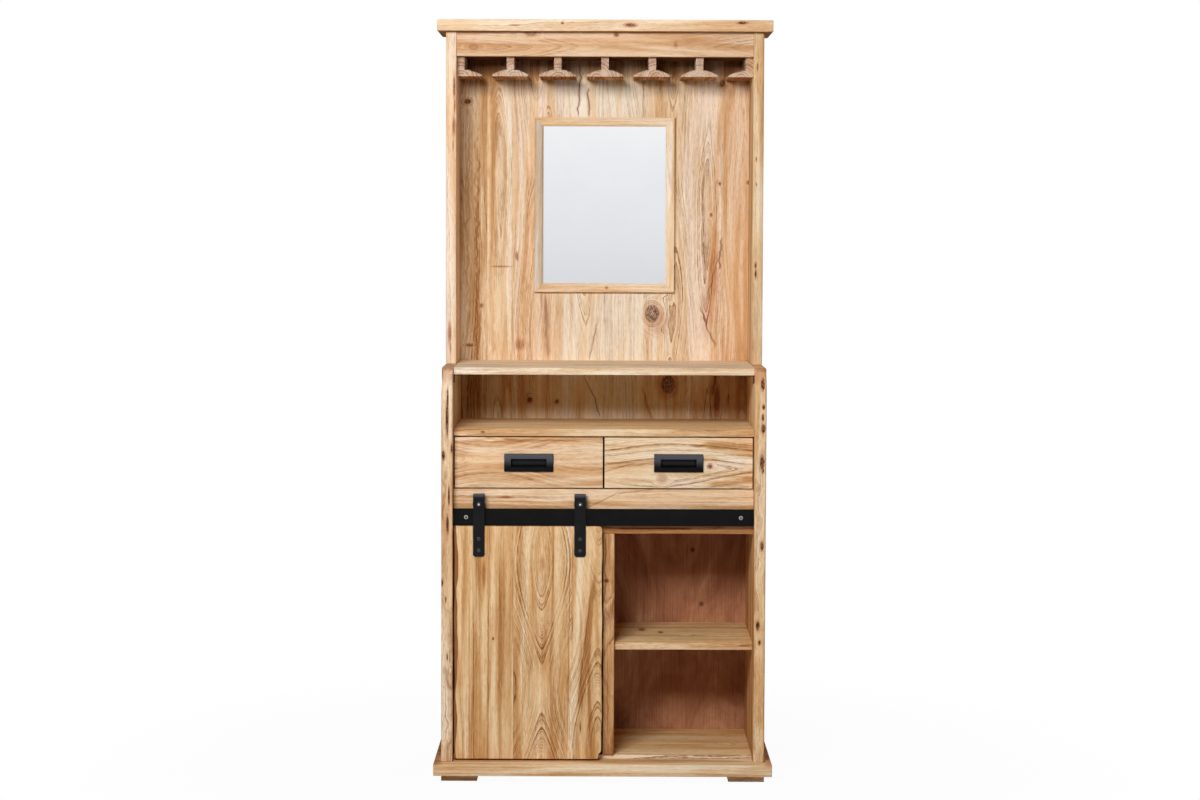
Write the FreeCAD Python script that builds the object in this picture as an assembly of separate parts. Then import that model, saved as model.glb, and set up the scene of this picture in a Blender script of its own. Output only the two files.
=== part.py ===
"""Wine cabinet in solid wood: a hutch with a stemware rack and a framed mirror
stands on a base with an open niche, two drawers and a compartment behind a
sliding door that hangs from a flat steel rail.

All lengths are in millimetres. The origin is on the floor under the middle of
the cabinet, +Z is up and the front faces -Y.
"""
import FreeCAD
import Part
import math
import os

os.makedirs("parts", exist_ok=True)

Vector = FreeCAD.Vector
RIGHT = Vector(1, 0, 0)
BACK = Vector(0, 1, 0)

# Finish and fits shared by all pieces
arris = 1.5                    # chamfer that softens the visible edges of a board
live_arris = 3.0               # wider chamfer where a board keeps the outline of the tree
live_bulge_share = 0.016       # how far each arc of a live edge bulges, of its length
overrun = 1.0                  # how far a cutting body runs past the face it cuts
snap = 0.01                    # how near an edge lies to a plane to count as on it
seat = 0.2                     # play of a piece that sits in a groove or rebate
rolling_clearance = 0.3        # gap between the roller's groove and the rail's top
bore_clearance = 0.05          # radial play of a roller on its axle
hole_clearance = 0.1           # radial play of a screw or axle in its hole

# Plinth and feet
plinth_side_overhang = 17.0    # past the outer faces of the sides
plinth_depth = 400.0
plinth_thickness = 28.0
foot_width = 85.0
foot_depth = 60.0
foot_height = 18.0

# Base carcass
carcass_width = 762.0
side_thickness = 27.0
niche_height = 128.0           # clear height of the open niche
side_setback = 29.0            # plinth's front edge to the sides' front edge
side_corner_radius = 28.0
front_setback = 33.0           # sides' front edge to the drawer faces
floor_thickness = 10.0
floor_setback = 5.0            # drawer faces to the floor board's front edge
shelf_thickness = 18.0
shelf_setback = 13.0
shelf_height = 250.0           # clear height under the shelves
divider_thickness = 26.5
opening_height = 528.0         # clear height of the lower compartment's mouth
cross_rail_height = 105.0
cross_rail_thickness = 22.0
deck_thickness = 18.0
partition_thickness = 18.0
drawer_opening_height = 125.0
niche_board_thickness = 17.0
counter_thickness = 17.0
counter_overhang = 3.0         # counter's front edge past the drawer faces
plywood_thickness = 6.0
plywood_setback = 18.0         # sides' rear edge to the plywood's rear face
bracket_leg = 20.0
bracket_width = 16.0
bracket_thickness = 2.0
bracket_inset = 6.0            # counter's front edge to the bracket

# Hutch
hutch_side_thickness = 25.0
hutch_side_height = 796.0
hutch_depth = 190.0
back_thickness = 16.0
back_setback = 2.0             # sides' rear edge to the planks' rear face
top_side_overhang = 20.0       # past the outer faces of the sides
top_overhang = 20.0            # past the front of the hutch sides
top_thickness = 28.0
fascia_height = 58.0
fascia_thickness = 20.0
fascia_setback = 5.0           # hutch sides' front edge to the fascia
ceiling_thickness = 16.0

# Stemware rack
glass_rail_count = 7           # with the half rail at each side
glass_rail_pitch = 113.8
rail_stem_width = 18.0
rail_stem_height = 31.5
rail_wing = 35.0               # stem face to the flange tip
rail_end_wing = 41.0           # the same on the half rails
rail_flange_thickness = 16.0
rail_tip_thickness = 5.0
rail_shoulder = 8.0            # flat beside the stem before the flange slopes
rail_slope_rise = 0.6          # crown of the sloping stretch over its chord
rail_setback = 1.0             # fascia's rear face to the rails' front end
rail_rear_gap = 2.0            # rails' rear end to the back planks

# Mirror
mirror_width = 345.0
mirror_height = 430.0
mirror_rack_gap = 91.5         # glass rails to the mirror's upper edge
frame_bar_width = 22.0
frame_bar_thickness = 14.0
frame_bevel_width = 5.0
frame_bevel_depth = 4.0
frame_rebate_width = 6.0
glass_thickness = 4.0
backing_thickness = 4.0

# Rail for the sliding door
track_height = 40.0
track_thickness = 5.0
track_top_gap = 44.6           # cross rail's top edge to the track's top edge
track_standoff = 13.0
track_screw_inset = 31.0       # track's end to its screw
spacer_radius = 8.0
spacer_bore_radius = 3.3
track_screw_radius = 3.0
track_screw_head_radius = 6.0
track_screw_head_height = 3.0
track_screw_depth = 15.0       # how far the screw goes into the cross rail

# Sliding door
door_width = 346.5
door_thickness = 20.0
door_side_gap = 4.0
door_floor_gap = 5.0           # plinth to the door's lower edge
door_track_gap = 1.0           # door's upper edge to the track's lower edge
door_back_gap = 3.0            # door's rear face to the cross rail
door_corner_radius = 16.0
door_nibble_width = 9.0        # how far the lower right corner steps in
door_nibble_height = 18.0

# Hangers, rollers and their fasteners
strap_width = 27.0
strap_thickness = 4.0
strap_gap = 15.0               # between the strap's two legs
strap_bend_radius = 8.0
strap_front_length = 147.4
strap_rear_length = 36.4
strap_corner_cut = 4.0
strap_rise = 24.0              # axle to the strap's top
hanger_left_inset = 57.0       # door's left edge to the middle of the hanger beside it
hanger_right_inset = 51.5
roller_tread_radius = 11.0
roller_flange_radius = 14.5
roller_groove_width = 6.0
roller_side_gap = 0.5          # roller's face to the strap's leg
axle_radius = 4.0
axle_head_radius = 7.0
axle_head_height = 3.0
axle_nut_height = 3.0
door_screw_radius = 2.5
door_screw_head_radius = 5.0
door_screw_head_height = 2.5
door_screw_depth = 14.0
door_screw_low = 15.0          # strap's lower end to the lower screw
door_screw_pitch = 27.0

# Drawers
drawer_gap = 3.0               # drawer front to the boards around it
drawer_meeting_gap = 4.0
drawer_front_thickness = 18.0
drawer_side_thickness = 12.0
drawer_back_thickness = 12.0
drawer_side_height = 90.0
drawer_rear_gap = 26.0         # drawer's rear to the plywood back
drawer_lift = 11.0             # deck to the drawer side's lower edge
drawer_bottom_thickness = 6.0
drawer_bottom_lift = 8.0       # drawer side's lower edge to the bottom panel
drawer_groove_depth = 5.0
runner_width = 12.7
runner_height = 45.0
runner_rear_gap = 16.0         # runner's end to the drawer's rear
runner_lift = 22.0             # drawer side's lower edge to the runner
runner_wall = 1.2
runner_play = 0.3
runner_setback = 4.0           # drawer front's rear face to the runner's end
runner_member_depth = 8.5      # how far each member reaches from what carries it

# Recessed pulls
pull_width = 116.0
pull_height = 42.5
pull_proud = 6.0
pull_edge_radius = 2.5
pull_mortise_rim = 5.0         # rim that laps the drawer face round the mortise
pull_mortise_depth = 11.0
pull_fit = 0.2
pull_floor = 2.0               # metal behind the finger recess
pull_recess_width = 84.0
pull_recess_height = 20.0
pull_recess_lift = 10.5        # pull's lower edge to the recess
pull_undercut = 6.0            # how far the recess goes up behind the top band
pull_lip_thickness = 6.0       # top band in front of the undercut

# Levels of the boards, from the floor up
plinth_bottom = foot_height
plinth_top = plinth_bottom + plinth_thickness
floor_top = plinth_top + floor_thickness
shelf_bottom = floor_top + shelf_height
shelf_top = shelf_bottom + shelf_thickness
cross_rail_bottom = floor_top + opening_height
cross_rail_top = cross_rail_bottom + cross_rail_height
deck_bottom = cross_rail_top - deck_thickness
niche_board_bottom = cross_rail_top + drawer_opening_height
niche_floor = niche_board_bottom + niche_board_thickness
counter_bottom = niche_floor + niche_height
side_top = counter_bottom + counter_thickness
hutch_top = side_top + hutch_side_height
cabinet_top = hutch_top + top_thickness
rack_bottom = hutch_top - fascia_height - rail_stem_height - rail_flange_thickness

# Planes from front to back
plinth_front = -plinth_depth / 2
rear = plinth_depth / 2
side_front = plinth_front + side_setback
face = side_front + front_setback
floor_front = face + floor_setback
shelf_front = face + shelf_setback
cross_rail_rear = face + cross_rail_thickness
counter_front = face - counter_overhang
hutch_front = rear - hutch_depth
planks_rear = rear - back_setback
planks_front = planks_rear - back_thickness
plywood_rear = rear - plywood_setback
plywood_front = plywood_rear - plywood_thickness
fascia_front = hutch_front + fascia_setback
fascia_rear = fascia_front + fascia_thickness
top_front = hutch_front - top_overhang

# Half widths
outer = carcass_width / 2
inner = outer - side_thickness
hutch_inner = outer - hutch_side_thickness
plinth_half = outer + plinth_side_overhang
top_half = outer + top_side_overhang


def box(left, right, front, back, bottom, top):
    """Square block between six planes."""
    corner = Vector(left, front, bottom)
    return Part.makeBox(right - left, back - front, top - bottom, corner)


def edges_on(shape, direction):
    """Edges that lie in the shape's outermost plane in one direction."""
    bounds = shape.BoundBox
    planes = {
        "-X": (0, bounds.XMin),
        "+X": (0, bounds.XMax),
        "-Y": (1, bounds.YMin),
        "+Y": (1, bounds.YMax),
        "-Z": (2, bounds.ZMin),
        "+Z": (2, bounds.ZMax),
    }
    axis, level = planes[direction]
    found = []
    for edge in shape.Edges:
        if all(abs(vertex.Point[axis] - level) < snap for vertex in edge.Vertexes):
            found.append(edge)
    return found


def edge_at(edge, height, direction):
    """Whether a straight edge runs along a direction at a height."""
    ends = [vertex.Point for vertex in edge.Vertexes]
    if len(ends) != 2:
        return False
    along = (ends[1] - ends[0]).normalize()
    level = abs(ends[0].z - height) < snap and abs(ends[1].z - height) < snap
    return level and abs(abs(along.dot(direction)) - 1) < snap / arris


def eased(shape, *directions):
    """Shape with the edges round its named faces chamfered once each."""
    chosen = []
    for direction in directions:
        for edge in edges_on(shape, direction):
            if not any(edge.isSame(other) for other in chosen):
                chosen.append(edge)
    return shape.makeChamfer(arris, chosen)


def polygon(points):
    """Flat face bounded by straight edges through the points."""
    return Part.Face(Part.makePolygon(points + [points[0]]))


def cylinder(radius, front, back, x, z):
    """Round bar along Y between two planes."""
    return Part.makeCylinder(radius, back - front, Vector(x, front, z), BACK)


def live_edge(start, end, length_shares, thickness_direction):
    """Shallow arcs that swing to either side of a straight line in turn.

    Each arc bulges by the same share of its own length, so that neighbours
    meet smoothly and the long ones wander further, as a tree's outline does.
    """
    across = (end - start).cross(thickness_direction).normalize()
    arcs = []
    near = start
    reached = 0
    side = 1
    for length_share in length_shares:
        reached += length_share
        far = start + (end - start) * (reached / sum(length_shares))
        bulge = across * (side * live_bulge_share * (far - near).Length)
        arcs.append(Part.Arc(near, (near + far) / 2 + bulge, far).toShape())
        near = far
        side = -side
    return arcs


def chamfered_outline(panel, direction, size):
    """Plate with the whole outline of one face chamfered, live edges included."""
    return panel.makeChamfer(size, edges_on(panel, direction))


def save(name, shape):
    """Write one sub-part and report what it holds."""
    shape.exportStep("parts/" + name + ".step")
    print(name, len(shape.Solids), "solids, valid", shape.isValid())


def save_pair(name, shape):
    """Write a piece and its mirror image on the cabinet's other side."""
    save(name + "_left", shape)
    save(name + "_right", shape.mirror(Vector(0, 0, 0), RIGHT))


# Lengths of the arcs in a base side's live front edge, from the bottom up
side_wave_shares = [0.9, 1.3, 0.8, 1.5, 1.0, 1.2, 0.7, 1.1, 0.9]


def base_side():
    """Left side panel: live front edge and a round upper front corner."""
    bottom_front = Vector(-outer, side_front, plinth_top)
    arc_start = Vector(-outer, side_front, side_top - side_corner_radius)
    slant = side_corner_radius * (1 - math.sqrt(0.5))
    arc_middle = Vector(-outer, side_front + slant, side_top - slant)
    arc_end = Vector(-outer, side_front + side_corner_radius, side_top)
    rear_top = Vector(-outer, rear, side_top)
    rear_bottom = Vector(-outer, rear, plinth_top)
    outline = Part.Wire(live_edge(bottom_front, arc_start, side_wave_shares, RIGHT) + [
        Part.Arc(arc_start, arc_middle, arc_end).toShape(),
        Part.makeLine(arc_end, rear_top),
        Part.makeLine(rear_top, rear_bottom),
        Part.makeLine(rear_bottom, bottom_front),
    ])
    panel = Part.Face(outline).extrude(RIGHT * side_thickness)
    front_edges = []
    for direction in ("-X", "+X"):
        for edge in edges_on(panel, direction):
            middle = edge.valueAt((edge.FirstParameter + edge.LastParameter) / 2)
            if middle.y < arc_end.y:
                front_edges.append(edge)
    return panel.makeChamfer(live_arris, front_edges)


def hutch_side():
    """Left side of the hutch, with the same softened front edges."""
    panel = box(-outer, -hutch_inner, hutch_front, rear, side_top, hutch_top)
    front_edges = [edge for edge in edges_on(panel, "-Y") if edge.Length > hutch_side_height / 2]
    return panel.makeFillet(live_arris, front_edges)


def center_divider():
    """Upright behind the door's right edge, notched round the cross rail."""
    outline = polygon([
        Vector(0, face, floor_top),
        Vector(0, plywood_front, floor_top),
        Vector(0, plywood_front, deck_bottom),
        Vector(0, cross_rail_rear, deck_bottom),
        Vector(0, cross_rail_rear, cross_rail_bottom),
        Vector(0, face, cross_rail_bottom),
    ])
    return eased(outline.extrude(RIGHT * divider_thickness), "-Y")


def back_planks():
    """Glued planks from the niche up to the top board, wider in the hutch."""
    lower = box(-inner, inner, planks_front, planks_rear, niche_floor, side_top)
    upper = box(-hutch_inner, hutch_inner, planks_front, planks_rear, side_top, hutch_top)
    return lower.fuse(upper).removeSplitter()


def build_feet():
    """Four blocks under the corners of the plinth."""
    feet = []
    for left in (-outer, outer - foot_width):
        for front in (side_front, rear - foot_depth):
            foot = box(left, left + foot_width, front, front + foot_depth, 0, foot_height)
            feet.append(eased(foot, "-Z"))
    save("block_feet", Part.makeCompound(feet))


def build_base():
    """Boards of the base, from the plinth up to the counter."""
    plinth = box(-plinth_half, plinth_half, plinth_front, rear, plinth_bottom, plinth_top)
    save("plinth_board", eased(plinth, "+Z", "-Z"))
    save_pair("base_side", base_side())
    floor = box(-inner, inner, floor_front, plywood_front, plinth_top, floor_top)
    save("floor_board", eased(floor, "-Y"))
    save("center_divider", center_divider())
    for name, left, right in (
        ("shelf_left", -inner, 0),
        ("shelf_right", divider_thickness, inner),
    ):
        shelf = box(left, right, shelf_front, plywood_front, shelf_bottom, shelf_top)
        save(name, eased(shelf, "-Y"))
    save("drawer_deck", box(-inner, inner, cross_rail_rear, plywood_front, deck_bottom, cross_rail_top))
    save("cross_rail", cross_rail())
    partition_half = partition_thickness / 2
    partition_front = face + drawer_front_thickness + drawer_gap
    partition = box(
        -partition_half, partition_half, partition_front, plywood_front, cross_rail_top, niche_board_bottom
    )
    save("drawer_partition", partition)
    niche_board = box(-inner, inner, face, planks_rear, niche_board_bottom, niche_floor)
    save("niche_board", eased(niche_board, "-Y"))
    counter = box(-inner, inner, counter_front, planks_front, counter_bottom, side_top)
    save("counter_board", eased(counter, "-Y"))
    plywood = box(-inner, inner, plywood_front, plywood_rear, plinth_top, niche_board_bottom)
    save("plywood_back", plywood)
    build_brackets()


def cross_rail():
    """Board over the door opening, drilled for the track's screws."""
    rail = eased(box(-inner, inner, face, cross_rail_rear, cross_rail_bottom, cross_rail_top), "-Y")
    radius = track_screw_radius + hole_clearance
    end = face + track_screw_depth + seat
    for x in track_screw_places():
        rail = rail.cut(cylinder(radius, face - overrun, end, x, track_middle()))
    return rail


def build_brackets():
    """Small steel angles under the counter, front and back on both sides."""
    brackets = []
    for front in (counter_front + bracket_inset, planks_front - bracket_inset - bracket_width):
        outline = polygon([
            Vector(-inner, front, counter_bottom),
            Vector(-inner + bracket_leg, front, counter_bottom),
            Vector(-inner + bracket_leg, front, counter_bottom - bracket_thickness),
            Vector(-inner + bracket_thickness, front, counter_bottom - bracket_thickness),
            Vector(-inner + bracket_thickness, front, counter_bottom - bracket_leg),
            Vector(-inner, front, counter_bottom - bracket_leg),
        ])
        angle = outline.extrude(BACK * bracket_width)
        brackets.append(angle)
        brackets.append(angle.mirror(Vector(0, 0, 0), RIGHT))
    save("counter_brackets", Part.makeCompound(brackets))


def build_hutch():
    """Sides, back, top, fascia and the board that carries the rack."""
    save_pair("hutch_side", hutch_side())
    save("back_planks", back_planks())
    top = box(-top_half, top_half, top_front, rear, hutch_top, cabinet_top)
    save("top_board", eased(top, "+Z", "-Z"))
    fascia_bottom = hutch_top - fascia_height
    fascia = box(-hutch_inner, hutch_inner, fascia_front, fascia_rear, fascia_bottom, hutch_top)
    save("fascia_rail", eased(fascia, "-Y"))
    ceiling_top = fascia_bottom + ceiling_thickness
    ceiling = box(-hutch_inner, hutch_inner, fascia_rear, planks_front, fascia_bottom, ceiling_top)
    save("rack_ceiling", ceiling)


def flange_half(stem_face, direction, reach):
    """Edges of one wing of a glass rail, from the stem out and back under it.

    direction is 1 for a wing to the right and -1 for one to the left.
    """
    stem_bottom = hutch_top - fascia_height - rail_stem_height
    bottom = stem_bottom - rail_flange_thickness
    tip_radius = rail_tip_thickness / 2
    front = fascia_rear + rail_setback

    def at(across, height):
        return Vector(stem_face + direction * across, front, height)

    root = at(0, stem_bottom)
    shoulder = at(rail_shoulder, stem_bottom)
    tip_top = at(reach - tip_radius, bottom + rail_tip_thickness)
    crown_across = (rail_shoulder + reach - tip_radius) / 2
    crown_height = (stem_bottom + bottom + rail_tip_thickness) / 2 + rail_slope_rise
    tip_end = at(reach, bottom + tip_radius)
    tip_bottom = at(reach - tip_radius, bottom)
    under_stem = at(0, bottom)
    edges = [
        Part.makeLine(root, shoulder),
        Part.Arc(shoulder, at(crown_across, crown_height), tip_top).toShape(),
        Part.Arc(tip_top, tip_end, tip_bottom).toShape(),
        Part.makeLine(tip_bottom, under_stem),
    ]
    return edges, root, under_stem


def glass_rail(left_face, left_wing, right_wing):
    """Moulded T-section that holds glasses by the foot; a wing of zero is left out."""
    right_face = left_face + rail_stem_width
    stem_top = hutch_top - fascia_height
    stem_bottom = stem_top - rail_stem_height
    bottom = stem_bottom - rail_flange_thickness
    front = fascia_rear + rail_setback
    top_left = Vector(left_face, front, stem_top)
    top_right = Vector(right_face, front, stem_top)
    bottom_left = Vector(left_face, front, bottom)
    bottom_right = Vector(right_face, front, bottom)
    edges = [Part.makeLine(top_left, top_right), Part.makeLine(bottom_left, bottom_right)]
    if right_wing:
        wing, root, under = flange_half(right_face, 1, right_wing)
        edges.append(Part.makeLine(top_right, root))
        edges.extend(wing)
    else:
        edges.append(Part.makeLine(top_right, bottom_right))
    if left_wing:
        wing, root, under = flange_half(left_face, -1, left_wing)
        edges.append(Part.makeLine(top_left, root))
        edges.extend(wing)
    else:
        edges.append(Part.makeLine(top_left, bottom_left))
    section = Part.Face(Part.Wire(Part.__sortEdges__(edges)))
    length = planks_front - rail_rear_gap - front
    return section.extrude(BACK * length)


def build_rack():
    """Whole glass rails at an even pitch, and a half one on each hutch side."""
    end_centre = hutch_inner - rail_stem_width / 2
    last = glass_rail_count - 1
    for index in range(glass_rail_count):
        centre = (index - last / 2) * glass_rail_pitch
        left_wing = rail_wing
        right_wing = rail_wing
        if index == 0:
            centre = -end_centre
            left_wing = 0
            right_wing = rail_end_wing
        if index == last:
            centre = end_centre
            left_wing = rail_end_wing
            right_wing = 0
        rail = glass_rail(centre - rail_stem_width / 2, left_wing, right_wing)
        save("glass_rail_" + str(index + 1), rail)


def frame_bar(length):
    """Mitred bar of the mirror frame along X, its outer edge up at z = 0."""
    lip = frame_bar_width - frame_rebate_width
    front_face = -frame_bar_thickness
    rebate = -(backing_thickness + glass_thickness + seat)
    section = polygon([
        Vector(-length / 2, 0, 0),
        Vector(-length / 2, front_face + arris, 0),
        Vector(-length / 2, front_face, -arris),
        Vector(-length / 2, front_face, -frame_bar_width + frame_bevel_width),
        Vector(-length / 2, front_face + frame_bevel_depth, -frame_bar_width),
        Vector(-length / 2, rebate, -frame_bar_width),
        Vector(-length / 2, rebate, -lip),
        Vector(-length / 2, 0, -lip),
    ])
    bar = section.extrude(RIGHT * length)
    depth = frame_bar_thickness + overrun
    mitre = polygon([
        Vector(-length / 2, -depth, 0),
        Vector(length / 2, -depth, 0),
        Vector(length / 2 - frame_bar_width, -depth, -frame_bar_width),
        Vector(-length / 2 + frame_bar_width, -depth, -frame_bar_width),
    ]).extrude(BACK * (depth + overrun))
    return bar.common(mitre)


def build_mirror():
    """Mitred frame on the back planks with the glass and its backing."""
    centre = Vector(0, planks_front, rack_bottom - mirror_rack_gap - mirror_height / 2)
    for name, turn, length, reach in (
        ("top", 0, mirror_width, mirror_height / 2),
        ("right", 90, mirror_height, mirror_width / 2),
        ("bottom", 180, mirror_width, mirror_height / 2),
        ("left", 270, mirror_height, mirror_width / 2),
    ):
        bar = frame_bar(length)
        bar.translate(Vector(0, 0, reach))
        bar.rotate(Vector(0, 0, 0), BACK, turn)
        bar.translate(centre)
        save("mirror_frame_" + name, bar)
    lip = frame_bar_width - frame_rebate_width + seat
    half_width = mirror_width / 2 - lip
    half_height = mirror_height / 2 - lip
    bottom = centre.z - half_height
    top = centre.z + half_height
    backing_front = planks_front - backing_thickness
    save("mirror_backing", box(-half_width, half_width, backing_front, planks_front, bottom, top))
    glass_front = backing_front - glass_thickness
    save("mirror_glass", box(-half_width, half_width, glass_front, backing_front, bottom, top))


# Track, which the spacers hold in front of the cross rail
track_rear = face - track_standoff
track_front = track_rear - track_thickness
track_top = cross_rail_top - track_top_gap
track_bottom = track_top - track_height


def track_middle():
    """Height of the track's screws."""
    return (track_top + track_bottom) / 2


def track_screw_places():
    """Screws at both ends of the track."""
    return (-inner + track_screw_inset, inner - track_screw_inset)


def headed_screw(radius, tip, head_radius, head_height, seat_plane, x, z):
    """Screw driven towards +Y, its head standing in front of the plane it bears on."""
    shank = cylinder(radius, seat_plane - head_height, tip, x, z)
    head = cylinder(head_radius, seat_plane - head_height, seat_plane, x, z)
    return head.fuse(shank).removeSplitter()


def build_track():
    """Flat steel bar, its two spacers and its screws."""
    bar = eased(box(-inner, inner, track_front, track_rear, track_bottom, track_top), "-Y")
    spacers = []
    screws = []
    middle = track_middle()
    for x in track_screw_places():
        bar = bar.cut(cylinder(spacer_bore_radius, track_front - overrun, track_rear + overrun, x, middle))
        tube = cylinder(spacer_radius, track_rear, face, x, middle)
        bore = cylinder(spacer_bore_radius, track_rear - overrun, face + overrun, x, middle)
        spacers.append(tube.cut(bore))
        screws.append(headed_screw(
            track_screw_radius,
            face + track_screw_depth,
            track_screw_head_radius,
            track_screw_head_height,
            track_front,
            x,
            middle,
        ))
    save("door_track", bar)
    save("track_spacers", Part.makeCompound(spacers))
    save("track_screws", Part.makeCompound(screws))


# Door, which hangs between the sides in front of the cross rail
door_rear = face - door_back_gap
door_front = door_rear - door_thickness
door_left = -inner + door_side_gap
door_right = door_left + door_width
door_bottom = plinth_top + door_floor_gap
door_top = track_bottom - door_track_gap

# Lengths of the arcs in the door's live edges, from the top down and from the bottom up
door_left_shares = [0.9, 1.2, 1.5, 1.0, 1.3, 0.8]
door_right_shares = [0.8, 1.1, 0.9, 1.4, 1.0, 1.2, 0.7]


# Hangers: a strap lies on the door, rises over the roller and ends behind the track
hanger_places = (door_left + hanger_left_inset, door_right - hanger_right_inset)
strap_front = door_front - strap_thickness
strap_rear = door_front + strap_gap + strap_thickness
strap_middle = door_front + strap_gap / 2
axle_height = track_top + roller_tread_radius
strap_top = axle_height + strap_rise
door_screw_heights = (
    strap_top - strap_front_length + door_screw_low,
    strap_top - strap_front_length + door_screw_low + door_screw_pitch,
)


def nibble(start, end):
    """Two arcs that step in smoothly from one upright tangent to another."""
    middle = (start + end) / 2
    half_turn = math.atan2(end.x - start.x, end.z - start.z)
    bulge = (middle - start).Length * math.tan(half_turn / 2) / 2
    across = (end - start).cross(BACK).normalize() * bulge
    return [
        Part.Arc(start, (start + middle) / 2 + across, middle).toShape(),
        Part.Arc(middle, (middle + end) / 2 - across, end).toShape(),
    ]


def door_panel():
    """Glued planks between two live edges, drilled for the hangers' screws."""

    def at(x, z):
        return Vector(x, door_front, z)

    corner_slant = door_corner_radius * (1 - math.sqrt(0.5))
    top_left = at(door_left, door_top)
    bottom_left = at(door_left, door_bottom)
    nibble_start = at(door_right - door_nibble_width, door_bottom)
    nibble_end = at(door_right, door_bottom + door_nibble_height)
    corner_start = at(door_right, door_top - door_corner_radius)
    corner_middle = at(door_right - corner_slant, door_top - corner_slant)
    corner_end = at(door_right - door_corner_radius, door_top)
    outline = Part.Wire(
        live_edge(top_left, bottom_left, door_left_shares, BACK)
        + [Part.makeLine(bottom_left, nibble_start)]
        + nibble(nibble_start, nibble_end)
        + live_edge(nibble_end, corner_start, door_right_shares, BACK)
        + [
            Part.Arc(corner_start, corner_middle, corner_end).toShape(),
            Part.makeLine(corner_end, top_left),
        ]
    )
    panel = Part.Face(outline).extrude(BACK * door_thickness)
    panel = chamfered_outline(panel, "-Y", arris)
    radius = door_screw_radius + hole_clearance
    end = door_front + door_screw_depth + seat
    for x in hanger_places:
        for z in door_screw_heights:
            panel = panel.cut(cylinder(radius, door_front - overrun, end, x, z))
    return panel


def hanger_strap(x):
    """Flat bar bent over the roller, with its lower corners cut."""
    left = x - strap_width / 2
    front_end = strap_top - strap_front_length
    rear_end = strap_top - strap_rear_length
    inside_front = strap_front + strap_thickness
    inside_rear = strap_rear - strap_thickness
    inside_top = strap_top - strap_thickness
    section = polygon([
        Vector(left, strap_front, front_end),
        Vector(left, strap_front, strap_top),
        Vector(left, strap_rear, strap_top),
        Vector(left, strap_rear, rear_end),
        Vector(left, inside_rear, rear_end),
        Vector(left, inside_rear, inside_top),
        Vector(left, inside_front, inside_top),
        Vector(left, inside_front, front_end),
    ])
    strap = section.extrude(RIGHT * strap_width)
    outside = [edge for edge in strap.Edges if edge_at(edge, strap_top, RIGHT)]
    strap = strap.makeFillet(strap_bend_radius, outside)
    inside = [edge for edge in strap.Edges if edge_at(edge, inside_top, RIGHT)]
    strap = strap.makeFillet(strap_bend_radius - strap_thickness, inside)
    corners = [edge for edge in strap.Edges if edge_at(edge, front_end, BACK)]
    strap = strap.makeChamfer(strap_corner_cut, corners)
    for z in door_screw_heights:
        radius = door_screw_radius + hole_clearance
        strap = strap.cut(cylinder(radius, strap_front - overrun, inside_front + overrun, x, z))
    radius = axle_radius + hole_clearance
    return strap.cut(cylinder(radius, strap_front - overrun, strap_rear + overrun, x, axle_height))


def roller(x):
    """Grooved wheel that straddles the track's upper edge."""
    half_width = strap_gap / 2 - roller_side_gap
    half_groove = roller_groove_width / 2
    tread = roller_tread_radius - rolling_clearance
    bore = axle_radius + bore_clearance

    def at(along, radius):
        return Vector(x, strap_middle + along, axle_height + radius)

    section = polygon([
        at(-half_width, bore),
        at(-half_width, roller_flange_radius),
        at(-half_groove, roller_flange_radius),
        at(-half_groove, tread),
        at(half_groove, tread),
        at(half_groove, roller_flange_radius),
        at(half_width, roller_flange_radius),
        at(half_width, bore),
    ])
    return section.revolve(at(0, 0), BACK, 360)


def hexagon_nut(x):
    """Nut on the axle behind the strap's rear leg."""
    corners = []
    for turn in range(6):
        angle = math.radians(60 * turn)
        across = x + axle_head_radius * math.cos(angle)
        corners.append(Vector(across, strap_rear, axle_height + axle_head_radius * math.sin(angle)))
    return polygon(corners).extrude(BACK * axle_nut_height)


def roller_axle(x):
    """Bolt through both legs of a strap, with its round head in front."""
    tip = strap_rear + axle_nut_height
    bolt = headed_screw(axle_radius, tip, axle_head_radius, axle_head_height, strap_front, x, axle_height)
    return bolt.fuse(hexagon_nut(x)).removeSplitter()


def build_door():
    """Door panel with its hangers, rollers and fasteners."""
    save("door_panel", door_panel())
    axles = []
    screws = []
    for name, x in zip(("left", "right"), hanger_places):
        save("hanger_strap_" + name, hanger_strap(x))
        save("roller_" + name, roller(x))
        axles.append(roller_axle(x))
        for z in door_screw_heights:
            screws.append(headed_screw(
                door_screw_radius,
                door_front + door_screw_depth,
                door_screw_head_radius,
                door_screw_head_height,
                strap_front,
                x,
                z,
            ))
    save("roller_axles", Part.makeCompound(axles))
    save("hanger_screws", Part.makeCompound(screws))


# Drawers: the left one is built and the right one is its mirror image
front_left = -inner + drawer_gap
front_right = -drawer_meeting_gap / 2
front_bottom = cross_rail_top + drawer_gap
front_top = niche_board_bottom - drawer_gap
drawer_front_rear = face + drawer_front_thickness
bay_left = -inner
bay_right = -partition_thickness / 2
box_left = bay_left + runner_width
box_right = bay_right - runner_width
box_bottom = cross_rail_top + drawer_lift
box_top = box_bottom + drawer_side_height
box_rear = plywood_front - drawer_rear_gap
panel_bottom = box_bottom + drawer_bottom_lift
panel_top = panel_bottom + drawer_bottom_thickness
runner_bottom = box_bottom + runner_lift
runner_top = runner_bottom + runner_height
runner_front = drawer_front_rear + runner_setback
runner_rear = box_rear - runner_rear_gap

# The pull sits in a mortise at the middle of the drawer front
pull_x = (front_left + front_right) / 2
pull_z = (front_bottom + front_top) / 2
pull_front = face - pull_proud
pull_rear = face + pull_mortise_depth
mortise_half_width = pull_width / 2 - pull_mortise_rim
mortise_half_height = pull_height / 2 - pull_mortise_rim
recess_bottom = pull_z - pull_height / 2 + pull_recess_lift
recess_top = recess_bottom + pull_recess_height
recess_rear = pull_rear - pull_floor
undercut_front = pull_front + pull_lip_thickness


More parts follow.
